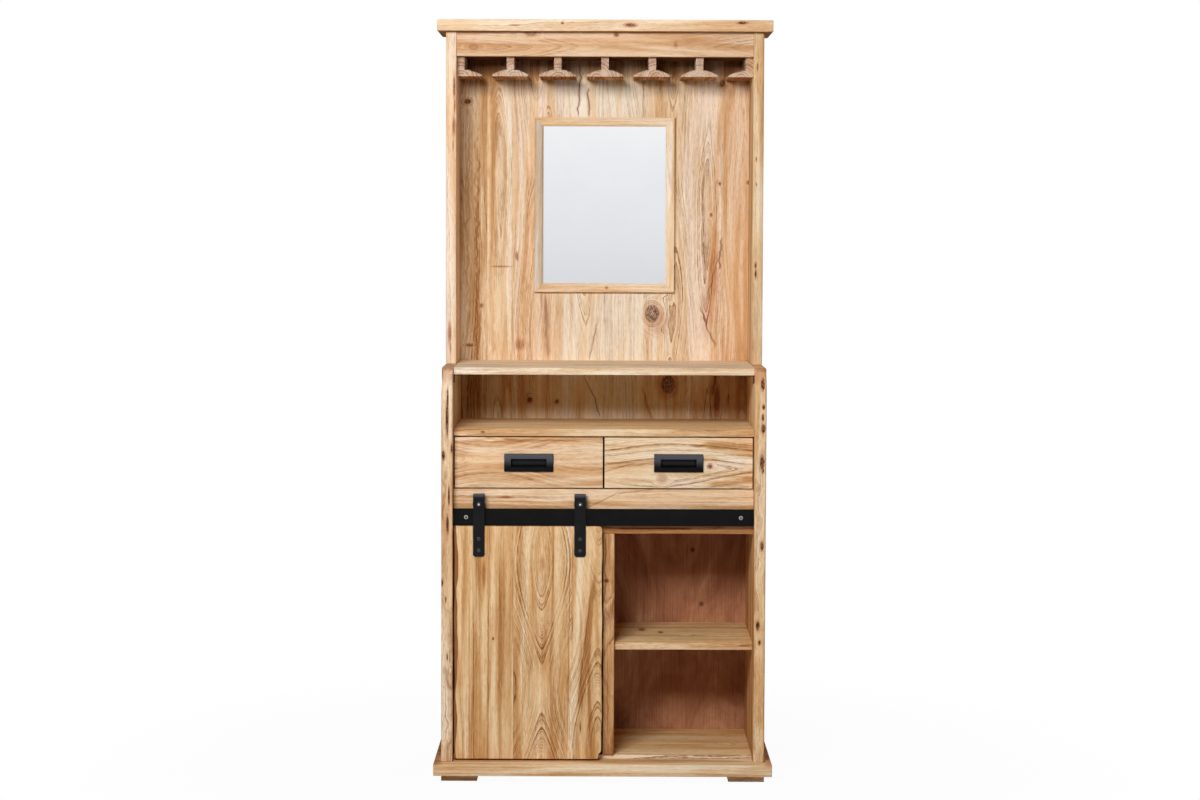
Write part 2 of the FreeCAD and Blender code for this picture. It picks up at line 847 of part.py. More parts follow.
def drawer_front():
    """Drawer front with a blind mortise for its pull."""
    front = eased(box(front_left, front_right, face, drawer_front_rear, front_bottom, front_top), "-Y")
    mortise = box(
        pull_x - mortise_half_width - pull_fit,
        pull_x + mortise_half_width + pull_fit,
        face - overrun,
        pull_rear + pull_fit,
        pull_z - mortise_half_height - pull_fit,
        pull_z + mortise_half_height + pull_fit,
    )
    return front.cut(mortise)


def pull():
    """Cast pull: a rim on the drawer face round a finger recess that runs up behind it."""
    rim = box(
        pull_x - pull_width / 2,
        pull_x + pull_width / 2,
        pull_front,
        face,
        pull_z - pull_height / 2,
        pull_z + pull_height / 2,
    )
    rim = rim.makeFillet(pull_edge_radius, edges_on(rim, "-Y"))
    tub = box(
        pull_x - mortise_half_width,
        pull_x + mortise_half_width,
        face,
        pull_rear,
        pull_z - mortise_half_height,
        pull_z + mortise_half_height,
    )
    left = pull_x - pull_recess_width / 2
    slope = recess_bottom + (recess_rear - pull_front) / 3
    recess = polygon([
        Vector(left, pull_front - overrun, recess_bottom),
        Vector(left, pull_front - overrun, recess_top),
        Vector(left, undercut_front, recess_top),
        Vector(left, undercut_front + pull_floor, recess_top + pull_undercut),
        Vector(left, recess_rear, recess_top + pull_undercut),
        Vector(left, recess_rear, slope),
        Vector(left, pull_front, recess_bottom),
    ])
    return rim.fuse(tub).removeSplitter().cut(recess.extrude(RIGHT * pull_recess_width))


def drawer_side(left, groove_left):
    """Side board, grooved on its inner face for the bottom panel."""
    side = box(left, left + drawer_side_thickness, drawer_front_rear, box_rear, box_bottom, box_top)
    groove = box(
        groove_left,
        groove_left + drawer_groove_depth + overrun,
        drawer_front_rear - overrun,
        box_rear + overrun,
        panel_bottom - seat,
        panel_top + seat,
    )
    return eased(side.cut(groove), "+Z")


def channel(web, reach, bottom, top):
    """Steel channel of a runner: its web lies at one X and its lips reach towards another."""
    lip = runner_wall if reach > web else -runner_wall
    section = polygon([
        Vector(web, runner_front, bottom),
        Vector(web, runner_front, top),
        Vector(reach, runner_front, top),
        Vector(reach, runner_front, top - runner_wall),
        Vector(web + lip, runner_front, top - runner_wall),
        Vector(web + lip, runner_front, bottom + runner_wall),
        Vector(reach, runner_front, bottom + runner_wall),
        Vector(reach, runner_front, bottom),
    ])
    return section.extrude(BACK * (runner_rear - runner_front))


def build_drawers():
    """Two boxes on side runners, as mirror images."""
    inner_left = box_left + drawer_side_thickness
    inner_right = box_right - drawer_side_thickness
    back_front = box_rear - drawer_back_thickness
    pieces = {
        "front": drawer_front(),
        "pull": pull(),
        "outer_side": drawer_side(box_left, inner_left - drawer_groove_depth),
        "inner_side": drawer_side(box_right - drawer_side_thickness, inner_right - overrun),
        "back": eased(box(inner_left, inner_right, back_front, box_rear, panel_top, box_top), "+Z"),
        "bottom": box(
            inner_left - drawer_groove_depth + seat,
            inner_right + drawer_groove_depth - seat,
            drawer_front_rear,
            box_rear,
            panel_bottom,
            panel_top,
        ),
    }
    moving_bottom = runner_bottom + runner_wall + runner_play
    moving_top = runner_top - runner_wall - runner_play
    moving = []
    fixed = []
    for cabinet_face, drawer_face, inward in (
        (bay_left, box_left, 1),
        (bay_right, box_right, -1),
    ):
        reach = inward * runner_member_depth
        moving.append(channel(drawer_face, drawer_face - reach, moving_bottom, moving_top))
        fixed.append(channel(cabinet_face, cabinet_face + reach, runner_bottom, runner_top))
    pieces["slides"] = Part.makeCompound(moving)
    for name, piece in pieces.items():
        save("drawer_left_" + name, piece)
        save("drawer_right_" + name, piece.mirror(Vector(0, 0, 0), RIGHT))
    left_fixed = Part.makeCompound(fixed)
    save("cabinet_slides", Part.makeCompound(fixed + left_fixed.mirror(Vector(0, 0, 0), RIGHT).Solids))


def build_all():
    """Every sub-part of the cabinet."""
    build_feet()
    build_base()
    build_hutch()
    build_rack()
    build_mirror()
    build_track()
    build_door()
    build_drawers()


build_all()
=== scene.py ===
import math

import bpy
import numpy as np
from mathutils import Matrix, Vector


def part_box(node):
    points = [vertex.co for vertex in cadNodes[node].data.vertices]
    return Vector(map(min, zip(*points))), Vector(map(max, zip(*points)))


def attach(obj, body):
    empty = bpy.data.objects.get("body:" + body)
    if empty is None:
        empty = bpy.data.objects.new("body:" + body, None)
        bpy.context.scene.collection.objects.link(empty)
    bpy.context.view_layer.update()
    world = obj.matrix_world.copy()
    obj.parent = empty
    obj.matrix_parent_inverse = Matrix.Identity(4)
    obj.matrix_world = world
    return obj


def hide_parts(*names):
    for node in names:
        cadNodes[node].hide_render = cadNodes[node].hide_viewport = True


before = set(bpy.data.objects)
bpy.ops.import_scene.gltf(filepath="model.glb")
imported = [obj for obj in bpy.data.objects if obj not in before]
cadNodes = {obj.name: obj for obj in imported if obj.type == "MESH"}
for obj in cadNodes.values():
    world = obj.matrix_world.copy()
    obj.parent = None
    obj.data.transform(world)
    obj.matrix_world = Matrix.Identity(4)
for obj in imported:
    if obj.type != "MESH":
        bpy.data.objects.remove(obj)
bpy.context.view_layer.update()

print("frame loaded,", len(cadNodes), "nodes")


# shader tools
class Wire:
    # what a socket gives, so that the formulas of a material are written with plain signs
    def __init__(self, socket):
        self.socket = socket

    def __add__(self, other):
        return calc("ADD", self, other)

    def __radd__(self, other):
        return calc("ADD", other, self)

    def __sub__(self, other):
        return calc("SUBTRACT", self, other)

    def __rsub__(self, other):
        return calc("SUBTRACT", other, self)

    def __mul__(self, other):
        return calc("MULTIPLY", self, other)

    def __rmul__(self, other):
        return calc("MULTIPLY", other, self)

    def __truediv__(self, other):
        return calc("DIVIDE", self, other)


def feed(node, feeds):
    # inputs by name or number: a wire is linked, anything else is a fixed value
    for key, value in feeds.items():
        if isinstance(value, Wire):
            node.id_data.links.new(value.socket, node.inputs[key])
        else:
            node.inputs[key].default_value = value


def put(tree, kind, feeds, **settings):
    node = tree.nodes.new(kind)
    for key, value in settings.items():
        setattr(node, key, value)
    feed(node, feeds)
    return node


def treeOf(feeds):
    # the node tree that the first wire comes from
    return next(value.socket.id_data for value in feeds.values() if isinstance(value, Wire))


def wired(kind, feeds, output=0, **settings):
    # a new node in the tree of its feeds, and the wire out of it
    return Wire(put(treeOf(feeds), kind, feeds, **settings).outputs[output])


def calc(operation, *values, clamp=False):
    return wired("ShaderNodeMath", dict(enumerate(values)), operation=operation, use_clamp=clamp)


def calcVector(operation, *values):
    output = "Value" if operation == "LENGTH" else "Vector"
    return wired("ShaderNodeVectorMath", dict(enumerate(values)), output, operation=operation)


def noise(vector, stretch, detail=2.0, roughness=0.5, distortion=0.0, output="Fac"):
    feeds = {"Vector": calcVector("MULTIPLY", vector, stretch), "Scale": 1.0, "Detail": detail,
             "Roughness": roughness, "Distortion": distortion}
    return wired("ShaderNodeTexNoise", feeds, output)


def noiseAlong(value, scale, detail):
    feeds = {"W": value, "Scale": scale, "Detail": detail}
    return wired("ShaderNodeTexNoise", feeds, "Fac", noise_dimensions="1D")


def remap(value, start, end, low=0.0, high=1.0, smooth=True):
    feeds = {"Value": value, "From Min": start, "From Max": end, "To Min": low, "To Max": high}
    return wired("ShaderNodeMapRange", feeds, interpolation_type="SMOOTHSTEP" if smooth else "LINEAR")


def blend(factor, first, second, kind="MIX"):
    return wired("ShaderNodeMix", {0: factor, 6: first, 7: second}, 2, data_type="RGBA", blend_type=kind)


def dyed(colour, factor, dye):
    # the colour multiplied by a dye, as far as the factor says
    return blend(factor, colour, blend(1.0, colour, dye, "MULTIPLY"))


def tint(red, green, blue):
    # a colour as it looks on a screen, 0 to 255, made linear
    c = np.array([red, green, blue]) / 255
    return (*np.where(c < 0.04045, c / 12.92, ((c + 0.055) / 1.055) ** 2.4).tolist(), 1.0)


def ramp(value, stops, kind="LINEAR"):
    node = put(value.socket.id_data, "ShaderNodeValToRGB", {"Fac": value})
    node.color_ramp.interpolation = kind
    band = node.color_ramp.elements
    while len(band) < len(stops):
        band.new(0.5)
    for element, (place, colour) in zip(band, stops):
        element.position = place
        element.color = colour
    return Wire(node.outputs["Color"])


def apart(value, kind="ShaderNodeSeparateXYZ"):
    return [Wire(socket) for socket in put(value.socket.id_data, kind, {0: value}).outputs]


def joined(*values):
    return wired("ShaderNodeCombineXYZ", dict(enumerate(values)))


def bumped(height, strength, distance):
    return wired("ShaderNodeBump", {"Height": height, "Strength": strength, "Distance": distance})


def newMaterial(name):
    # with the wires of the place on the object and of the surface's direction
    material = bpy.data.materials.new(name)
    material.use_nodes = True
    tree = material.node_tree
    coordinates = tree.nodes.new("ShaderNodeTexCoord").outputs
    return material, tree.nodes["Principled BSDF"], Wire(coordinates["Object"]), Wire(coordinates["Normal"])


def newGroup(name, inputs, outputs):
    # inputs are given with their starting values, and three numbers make a vector
    tree = bpy.data.node_groups.new(name, "ShaderNodeTree")
    for label, value in inputs.items():
        kind = "NodeSocketVector" if isinstance(value, tuple) else "NodeSocketFloat"
        tree.interface.new_socket(label, in_out="INPUT", socket_type=kind).default_value = value
    for label in outputs:
        kind = "NodeSocketColor" if label == "Color" else "NodeSocketFloat"
        tree.interface.new_socket(label, in_out="OUTPUT", socket_type=kind)
    source = tree.nodes.new("NodeGroupInput").outputs
    return tree, {label: Wire(source[label]) for label in inputs}, tree.nodes.new("NodeGroupOutput")


def fromGroup(group, feeds):
    node = put(treeOf(feeds), "ShaderNodeGroup", feeds, node_tree=group)
    return {socket.name: Wire(socket) for socket in node.outputs}


def makeSpotGroup():
    # a knot or bark hole: its dark core, the stain round it, and the ovals that the rings make about it
    tree, g, sink = newGroup(
        "woodSpot",
        {"Grain": (0, 0, 0), "Centre": (0, 0, 0), "Size": (1, 1, 1), "Ragged": 0.4, "Spread": 0.01,
         "Hold": 0.0},
        ("Core", "Stain", "Near", "Pull"))
    away = calcVector("DIVIDE", calcVector("SUBTRACT", g["Grain"], g["Centre"]), g["Size"])
    wobble = noise(g["Grain"], (90, 320, 320), 4.0, 0.7, output="Color")
    wobble = calcVector("SUBTRACT", wobble, (0.5, 0.5, 0.5))
    wobble = wired("ShaderNodeVectorMath", {0: wobble, "Scale": g["Ragged"]}, operation="SCALE")
    far = calcVector("LENGTH", calcVector("ADD", away, wobble))
    plain = calcVector("LENGTH", away)
    grit = remap(noise(g["Grain"], (260, 420, 420)), 0.4, 0.58, 0.35, 1.0)
    feed(sink, {"Core": remap(far, 0.8, 1.08, 1.0, 0.0) * grit,
                "Stain": remap(far, 0.7, 2.2, 1.0, 0.0),
                "Near": plain * g["Spread"],
                "Pull": remap(plain, 1.7, 3.4, 1.0, 0.0) * g["Hold"]})
    return tree


def makeLineGroup():
    # a long mark along the grain, such as a crack, a band of sapwood, or a strip of painted shade or painted
    # light, that leans and wanders
    tree, g, sink = newGroup(
        "woodLine",
        {"Grain": (0, 0, 0), "Across": 0.0, "Along": 0.0, "Slope": 0.0, "Half": 0.05, "Width": 0.002,
         "Wander": 0.002},
        ("Mark", "Halo"))
    x, y = apart(g["Grain"])[:2]
    along = x - g["Along"]
    curve = (noiseAlong(x * 26.0 + g["Across"] * 300.0, 1.0, 2.0) - 0.5) * g["Wander"] * 4.0
    across = y - (g["Across"] + curve) - along * g["Slope"]
    share = along / g["Half"]
    taper = calc("SUBTRACT", 1.0, share * share, clamp=True)
    width = g["Width"] * (calc("POWER", taper, 0.5) + 0.001)
    far = calc("ABSOLUTE", across) / width
    ends = remap(taper, 0.0, 0.5)
    feed(sink, {"Mark": remap(far, 0.25, 1.0, 1.0, 0.0) * ends,
                "Halo": remap(far, 0.5, 3.6, 1.0, 0.0) * ends})
    return tree


def makeFigureGroup():
    # growth rings: the distance to a pith line that wanders behind the face, plus the tilt times a raised
    # cosine of the place along the board, so that long ovals and pointed arches follow each other
    tree, g, sink = newGroup(
        "woodFigure",
        {"Grain": (0, 0, 0), "Seed": 0.0, "Across": 0.0, "Depth": 0.06, "Along": 0.0, "Tilt": 0.0,
         "Reach": 0.3, "Wander": 0.03, "Pitch": 0.007, "Near": 0.0, "Pull": 0.0},
        ("Rings", "Patch", "Streak", "Pores"))
    own = calcVector("ADD", g["Grain"], joined(g["Seed"] * 3.7, g["Seed"] * 1.9, g["Seed"] * 1.3))
    x, y, z = apart(g["Grain"])
    drift = apart(calcVector("SUBTRACT", noise(own, (2.2, 0.6, 0.6), output="Color"), (0.5, 0.5, 0.5)))
    aside = y - g["Across"] + drift[0] * g["Wander"] * 3.0
    under = z + g["Depth"] + drift[1] * g["Wander"] * 3.0
    swing = calc("COSINE", (x - g["Along"]) / g["Reach"] * math.pi)
    offPith = calc("ABSOLUTE", aside)
    fold = (1.0 - swing) * (g["Reach"] * 0.5) * remap(offPith, 0.05, 0.13, 1.0, 0.0)
    radius = calc("SQRT", aside * aside + under * under) + fold * g["Tilt"]
    radius = radius * (1.0 - g["Pull"]) + g["Near"] * g["Pull"]   # round a knot the rings keep to its ovals
    radius = radius + (noise(own, (5, 50, 50), 4.0, 0.6) - 0.5) * 0.005
    phase = radius / g["Pitch"] + noiseAlong(radius * 60.0, 5.0, 1.0) * 1.6
    part = calc("FRACT", phase)
    line = remap(part, 0.05, 0.85) * 0.6 + remap(part, 0.6, 0.88) * 0.4
    line = line * remap(part, 0.93, 1.0, 1.0, 0.0)
    fade = remap(noise(own, (2.5, 22, 22)), 0.36, 0.62, 0.25, 1.0)
    fade = fade * remap(noise(own, (60, 420, 420), 2.0, 0.6), 0.35, 0.6, 0.45, 1.0)
    # where an arch's tip crosses the pith line, the rings would crowd and so are left out
    crowded = remap(swing, -0.75, -1.0, 0.0, 1.0) * remap(offPith, 0.01, 0.04, 1.0, 0.0)
    fade = fade * (1.0 - crowded * calc("GREATER_THAN", g["Tilt"], 0.01))
    each = wired("ShaderNodeTexWhiteNoise", {"W": calc("FLOOR", phase)}, noise_dimensions="1D")
    each = remap(each, 0.0, 1.0, 0.25, 1.0, smooth=False)
    wisps = remap(noise(own, (9, 230, 230), 4.0, 0.7, 0.3), 0.38, 0.68)
    wisps = wisps * remap(noise(own, (3.5, 20, 20)), 0.35, 0.65, 0.25, 1.0)
    flecks = remap(noise(own, (55, 430, 430), 3.0, 0.65), 0.46, 0.7)
    feed(sink, {"Rings": line * fade * each,
                "Patch": remap(noise(own, (2.2, 30, 30), 4.0, 0.55, 0.8), 0.28, 0.72),
                "Streak": wisps * 0.7 + flecks * 0.6,
                "Pores": remap(noise(own, (38, 1300, 1300)), 0.6, 0.76)})
    return tree


def makeAcaciaGroup():
    # acacia under a clear satin coat, from cream sapwood through honey to brown heartwood
    tree, g, sink = newGroup(
        "acaciaFinish",
        {"Rings": 0.0, "Patch": 0.5, "Streak": 0.0, "Pores": 0.0, "Core": 0.0, "Stain": 0.0, "Tone": 0.0,
         "Pink": 0.0, "Grey": 0.0, "HoneyAndTopLight": 0.0, "Figure": 1.0, "End": 0.0, "Bark": 0.0},
        ("Color", "Roughness", "Height"))
    tone = calc("ADD", (g["Patch"] - 0.5) * 0.64 + 0.42, g["Tone"], clamp=True)
    colour = ramp(tone, [(0.0, tint(255, 243, 222)), (0.25, tint(251, 231, 199)), (0.5, tint(241, 210, 168)),
                         (0.75, tint(222, 178, 127)), (1.0, tint(188, 138, 90))])
    wisps = calc("MULTIPLY", g["Streak"], g["Figure"] * 0.5, clamp=True)
    lines = calc("MULTIPLY", g["Rings"], g["Figure"], clamp=True)
    for mask, dye in (
        (g["Pink"], tint(253, 234, 228)),
        (g["Grey"], tint(226, 234, 250)),
        (g["HoneyAndTopLight"], tint(255, 240, 205)),
        (wisps, tint(205, 178, 152)),
        (lines, tint(170, 132, 102)),
        (g["Pores"] * 0.5, tint(170, 128, 92)),
        (g["End"] * 0.7, tint(232, 214, 202)),
        (g["Stain"] * 0.75, tint(204, 144, 110)),
    ):
        colour = dyed(colour, mask, dye)
    colour = blend(g["Bark"], colour, tint(150, 98, 62))
    feed(sink, {"Color": blend(g["Core"], colour, tint(56, 31, 21)),
                "Roughness": 0.44 + g["Streak"] * 0.08 + g["Core"] * 0.3 + g["Bark"] * 0.2,
                "Height": g["Pores"] * -0.5 - g["Rings"] * 0.3 - g["Core"] * 3.0})
    return tree


spotGroup = makeSpotGroup()
lineGroup = makeLineGroup()
figureGroup = makeFigureGroup()
acaciaGroup = makeAcaciaGroup()

woodSettings = {
    "order": "ZXY",        # which object axes run along the grain, across it and into the board
    "seed": 1.0,
    "tone": 0.0,           # above 0 browner, below 0 paler
    "pink": 0.3,
    "grey": 0.0,
    # a honey tint; on a level board it lies on the upper face only, as painted warm light on its top
    "honey": 0.0,
    "figure": 1.0,         # strength of the rings and streaks
    "face": 0.0,           # where the board's face or edge lies on the third axis
    "pith": (0.0, 0.05),   # where the rings' centre lies, across the board and behind its face
    "fold": (0.0, 0.0, 0.3),   # where along the board the pith comes up, how steeply, half a wave
    "wander": 0.02,
    "pitch": 0.007,
    "spots": [],           # (place, size, hold on the rings, stain, core), place and size in object axes
    # the cracks list also holds strips of painted shade, drawn the same way
    "cracks": [],          # (across, along, slope, half length, half width, wander, darkness)
    "bands": [],           # the same, with a change of tone in place of the darkness
    "lineAxis": None,      # the object axis across cracks and bands, where it isn't the second
    "planks": None,        # (from, to, [(left edge, seed, tone, pink, pith across, figure, fold's shift)])
    "bark": None,          # (object axis, where the edge is, least and most width)
    "ragged": 0.9,         # how uneven the outline of a spot is
    "bump": (0.35, 0.0004),    # strength and height
    "coat": (0.02, 0.25),      # weight and roughness
}


def acacia(name, **changes):
    s = {**woodSettings, **changes}
    axes = ["XYZ".index(letter) for letter in s["order"]]
    material, shader, place, normal = newMaterial(name)
    place, facing = apart(place), apart(normal)
    grain = joined(*(place[a] for a in axes))
    seed, tone, pink, honey, strength = s["seed"], s["tone"], s["pink"], s["honey"], s["figure"]
    (pith, depth), (rise, tilt, reach) = s["pith"], s["fold"]
    if s["order"] == "XYZ":
        # a level board has it on its upper face only, as painted warm light on its top
        honey = remap(facing[2], 0.4, 0.9) * honey
    if s["planks"]:
        # each plank's own values, as shares of these spans, from two ramps with hard steps across the board
        low, high, planks = s["planks"]
        along = remap(place[axes[1]], low, high, smooth=False)
        starts = [(plank[0] - low) / (high - low) for plank in planks]
        first = [(start, (p[1], p[2], p[3], 1.0)) for start, p in zip(starts, planks)]
        second = [(start, (p[4] + 0.5, p[5] / 2, p[6] + 0.5, 1.0)) for start, p in zip(starts, planks)]
        first = apart(ramp(along, first, "CONSTANT"), "ShaderNodeSeparateColor")
        second = apart(ramp(along, second, "CONSTANT"), "ShaderNodeSeparateColor")
        seed, tone, pink = first[0] * 17.0, first[1] - 0.5, first[2]
        pith, strength, rise = second[0] - 0.5, second[1] * 2.0, second[2] + (rise - 0.5)

    core, stain, near, pull = 0.0, 0.0, 0.0, 0.0
    for where, size, hold, soak, dark in s["spots"]:
        spot = fromGroup(spotGroup, {
            "Grain": grain, "Centre": [where[a] for a in axes], "Size": [size[a] for a in axes],
            "Ragged": s["ragged"], "Spread": size[axes[1]], "Hold": hold})
        core = calc("MAXIMUM", core, spot["Core"] * dark)
        stain = calc("MAXIMUM", stain, spot["Stain"] * soak)
        if hold:
            near = near + (spot["Near"] - near) * spot["Pull"]
            pull = calc("MAXIMUM", pull, spot["Pull"])

    lineKeys = ("Across", "Along", "Slope", "Half", "Width", "Wander")
    sheet = joined(place[axes[0]], place["XYZ".index(s["lineAxis"])]) if s["lineAxis"] else grain
    for *values, dark in s["cracks"]:
        crack = fromGroup(lineGroup, {"Grain": sheet, **dict(zip(lineKeys, values))})
        # cracks and the strips of painted shade among them darken towards the core colour
        core = calc("MAXIMUM", core, crack["Mark"] * dark)
        stain = calc("MAXIMUM", stain, crack["Halo"] * dark)
    for *values, change in s["bands"]:
        band = fromGroup(lineGroup, {"Grain": sheet, **dict(zip(lineKeys, values))})
        tone = tone + band["Mark"] * change

    bark = 0.0
    if s["bark"]:
        axis, edge, least, most = s["bark"]
        wave = remap(noise(grain, (8, 2, 2)), 0.32, 0.66, least, most)
        bark = remap(place[axis] - edge - wave, 0.0, 0.0012, 1.0, 0.0)

    figure = fromGroup(figureGroup, {
        "Grain": grain, "Seed": seed, "Across": pith, "Depth": depth - s["face"], "Along": rise, "Tilt": tilt,
        "Reach": reach, "Wander": s["wander"], "Pitch": s["pitch"], "Near": near, "Pull": pull})
    finish = fromGroup(acaciaGroup, {
        **figure, "Core": core, "Stain": stain, "Tone": tone, "Pink": pink, "Grey": s["grey"], "HoneyAndTopLight": honey,
        "Figure": strength, "End": remap(calc("ABSOLUTE", facing[axes[0]]), 0.6, 0.9), "Bark": bark})
    feed(shader, {"Base Color": finish["Color"], "Roughness": finish["Roughness"],
                  "Normal": bumped(finish["Height"], *s["bump"]), "Specular IOR Level": 0.0,
                  "Coat Weight": s["coat"][0], "Coat Roughness": s["coat"][1]})
    return material


def plainFinish(name, base, roughness, metallic=0.0, grain=900.0, mottle=0.25, gloss=0.5, paintedLight=None):
    # a paint or metal whose colour and gloss vary a little, with a fine texture; the last argument paints a
    # highlight into its colour
    material, shader, place, normal = newMaterial(name)
    cloud = noise(place, (28, 28, 28), 4.0, 0.6)
    lighter = tuple(min(1.0, c * 1.8 + 0.004) for c in base[:3]) + (1.0,)
    colour = blend(remap(cloud, 0.4, 0.7) * mottle, base, lighter)
    if paintedLight:
        colour = paintedLight(colour, place, normal)
    feed(shader, {"Base Color": colour, "Roughness": roughness - 0.06 + cloud * 0.12, "Metallic": metallic,
                  "Normal": bumped(noise(place, (grain, grain, grain), 2.0, 0.6), 0.5, 0.00005),
                  "Specular IOR Level": gloss})
    return material


def glintPaintedFinish(name, places, inner, outer, mark):
    # dark steel with a painted glint, a bright ring or spot, round each fastener's axis
    def ring(colour, place, normal):
        near, edge = 1.0, 0.0005
        for x, y, z in places:
            away = calcVector("MULTIPLY", calcVector("SUBTRACT", place, (x, 0, z)), (1, 0, 1))
            near = calc("MINIMUM", near, calcVector("LENGTH", away))
        glint = remap(near, inner - edge, inner) * remap(near, outer, outer + edge, 1.0, 0.0)
        return blend(glint, colour, mark)

    return plainFinish(name, tint(30, 30, 31), 0.3, gloss=0.3, paintedLight=ring)


def castFinishWithPaintedHighlight(name, low, high, forward, rear, base, gloss):
    # black paint on a pull or hanger, with a painted grey highlight between two heights and in front of the
    # depth rear; forward holds the surface's slopes towards the back at which the highlight starts and is
    # full
    def paintedHighlight(colour, place, normal):
        y, z = apart(place)[1:]
        rise = remap(z, low, high) * remap(y, rear - 0.002, rear, 1.0, 0.3)
        return blend(rise * remap(apart(normal)[1], *forward) * 0.8, colour, tint(88, 89, 95))

    return plainFinish(name, base, 0.3, grain=1500.0, gloss=gloss, paintedLight=paintedHighlight)


def veneerFinish():
    # rotary-cut reddish plywood: broad swirls, fine vertical streaks and a few small knots
    material, shader, place = newMaterial("reddishPlywood")[:3]
    swirl = noise(place, (7.0, 7.0, 3.2), 5.0, 0.65, 1.8)
    streak = remap(noise(place, (420, 420, 7), 3.0, 0.6), 0.42, 0.72)
    colour = ramp(swirl, [(0.3, tint(150, 98, 72)), (0.5, tint(180, 128, 96)), (0.7, tint(208, 162, 128))])
    colour = dyed(colour, streak * 0.55, tint(190, 158, 140))
    knots = 0.0
    for where in ((0.2222, 0.176, 0.5053), (-0.2, 0.176, 0.5), (0.245, 0.182, 0.37), (-0.11, 0.182, 0.24)):
        spot = fromGroup(spotGroup, {"Grain": place, "Centre": where, "Size": (0.0035, 0.02, 0.004)})
        knots = calc("MAXIMUM", knots, spot["Stain"] * 0.8)
    feed(shader, {"Base Color": blend(knots, colour, tint(84, 46, 32)),
                  "Roughness": remap(swirl, 0.3, 0.7, 0.5, 0.62),
                  "Normal": bumped(streak, 0.3, 0.0003), "Specular IOR Level": 0.0})
    return material


def mirrorFinish():
    # silvered glass with a trace of haze
    material, shader, place = newMaterial("silveredGlass")[:3]
    haze = noise(place, (9, 9, 9), 3.0)
    feed(shader, {"Base Color": blend(haze, tint(240, 242, 243), tint(247, 248, 249)),
                  "Roughness": remap(haze, 0.3, 0.8, 0.015, 0.035), "Metallic": 1.0})
    return material


def extent(node):
    # the low and high corners of a CAD node's box
    return tuple(np.array(corner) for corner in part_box(node))


blackPowder = plainFinish("blackPowderCoat", tint(12, 12, 12), 0.42, gloss=0.09)
darkScrew = plainFinish("darkScrewHead", tint(58, 58, 61), 0.26, metallic=0.7)
rollerSteel = plainFinish("rollerSteel", tint(24, 24, 25), 0.4, gloss=0.3)
zincSteel = plainFinish("zincSlide", tint(136, 138, 141), 0.38, metallic=1.0)
# the pull's upper rounding and the strap's top bend get a painted grey highlight
pullFront = extent("drawer_left_pull")[0][1]
blackCast = castFinishWithPaintedHighlight("blackCastPull", 0.74, 0.7635, (-0.25, -0.6), pullFront + 0.0075,
                       tint(13, 13, 14), 0.07)
strapTop = extent("hanger_strap_left")[1][2]
strapPowder = castFinishWithPaintedHighlight("strapPowderCoat", strapTop - 0.01, strapTop - 0.001, (1.0, 0.0), 0.0,
                         tint(18, 18, 19), 0.12)
print("finishes ready")


# surface tools
def surface(name, parts, material, body, node, smooth=35.0):
    # quads and caps become one closed mesh; the sum of the corner products tells whether it is inside out
    points, quads, caps = parts
    a, b, c, d = (points[quads[:, i]] for i in range(4))
    volume = np.sum(a * np.cross(b, c)) + np.sum(a * np.cross(c, d))
    for cap in caps:
        ring = points[cap]
        volume += np.sum(ring[0] * np.cross(ring[1:-1], ring[2:]))
    faces = quads.tolist() + [cap.tolist() for cap in caps]
    if volume < 0:
        faces = [face[::-1] for face in faces]
    mesh = bpy.data.meshes.new(name)
    mesh.from_pydata(points.tolist(), [], faces)
    mesh.update()
    mesh.materials.append(material)
    mesh.shade_smooth()
    mesh.set_sharp_from_angle(angle=math.radians(smooth))
    piece = bpy.data.objects.new(name, mesh)
    bpy.context.scene.collection.objects.link(piece)
    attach(piece, body)
    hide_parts(node)


def roundedOutline(corners, radius, segments=4, step=None):
    # each corner is a quadratic curve between the points a radius before and after it;
    # with a step, long straight runs are divided evenly
    corners = np.asarray(corners, float)
    radii = np.broadcast_to(radius, (len(corners),))
    t = np.linspace(0, 1, segments + 1)[:, None]
    runs = []
    for i, corner in enumerate(corners):
        before, after = corners[i - 1] - corner, corners[(i + 1) % len(corners)] - corner
        r = min(radii[i], 0.49 * np.linalg.norm(before), 0.49 * np.linalg.norm(after))
        start = corner + before / np.linalg.norm(before) * r
        end = corner + after / np.linalg.norm(after) * r
        runs.append((1 - t) ** 2 * start + 2 * t * (1 - t) * corner + t ** 2 * end)
    line = np.concatenate(runs)
    if not step:
        return line
    pieces = []
    for start, end in zip(line, np.roll(line, -1, 0)):
        count = max(1, round(np.linalg.norm(end - start) / step))
        pieces.append(start + (end - start) * np.linspace(0, 1, count + 1)[:-1, None])
    return np.concatenate(pieces)


def outwardOf(line):
    # unit normals of a closed outline, from its neighbours
    along = np.roll(line, -1, 0) - np.roll(line, 1, 0)
    normal = np.stack([along[:, 1], -along[:, 0]], axis=1)
    normal /= np.linalg.norm(normal, axis=1)[:, None]
    area = np.sum(line[:, 0] * np.roll(line[:, 1], -1) - np.roll(line[:, 0], -1) * line[:, 1])
    return normal if area > 0 else -normal


def swept(points):
    # points by station, then round the section, as one surface with a cap at each end
    stations, count = points.shape[:2]
    row = (np.arange(stations - 1) * count)[:, None]
    here, there = np.arange(count)[None, :], (np.arange(count)[None, :] + 1) % count
    corners = (row + here, row + there, row + count + there, row + count + here)
    quads = np.stack(corners, axis=-1).reshape(-1, 4)
    caps = [np.arange(count)[::-1], np.arange(count) + (stations - 1) * count]
    return points.reshape(-1, 3), quads, caps


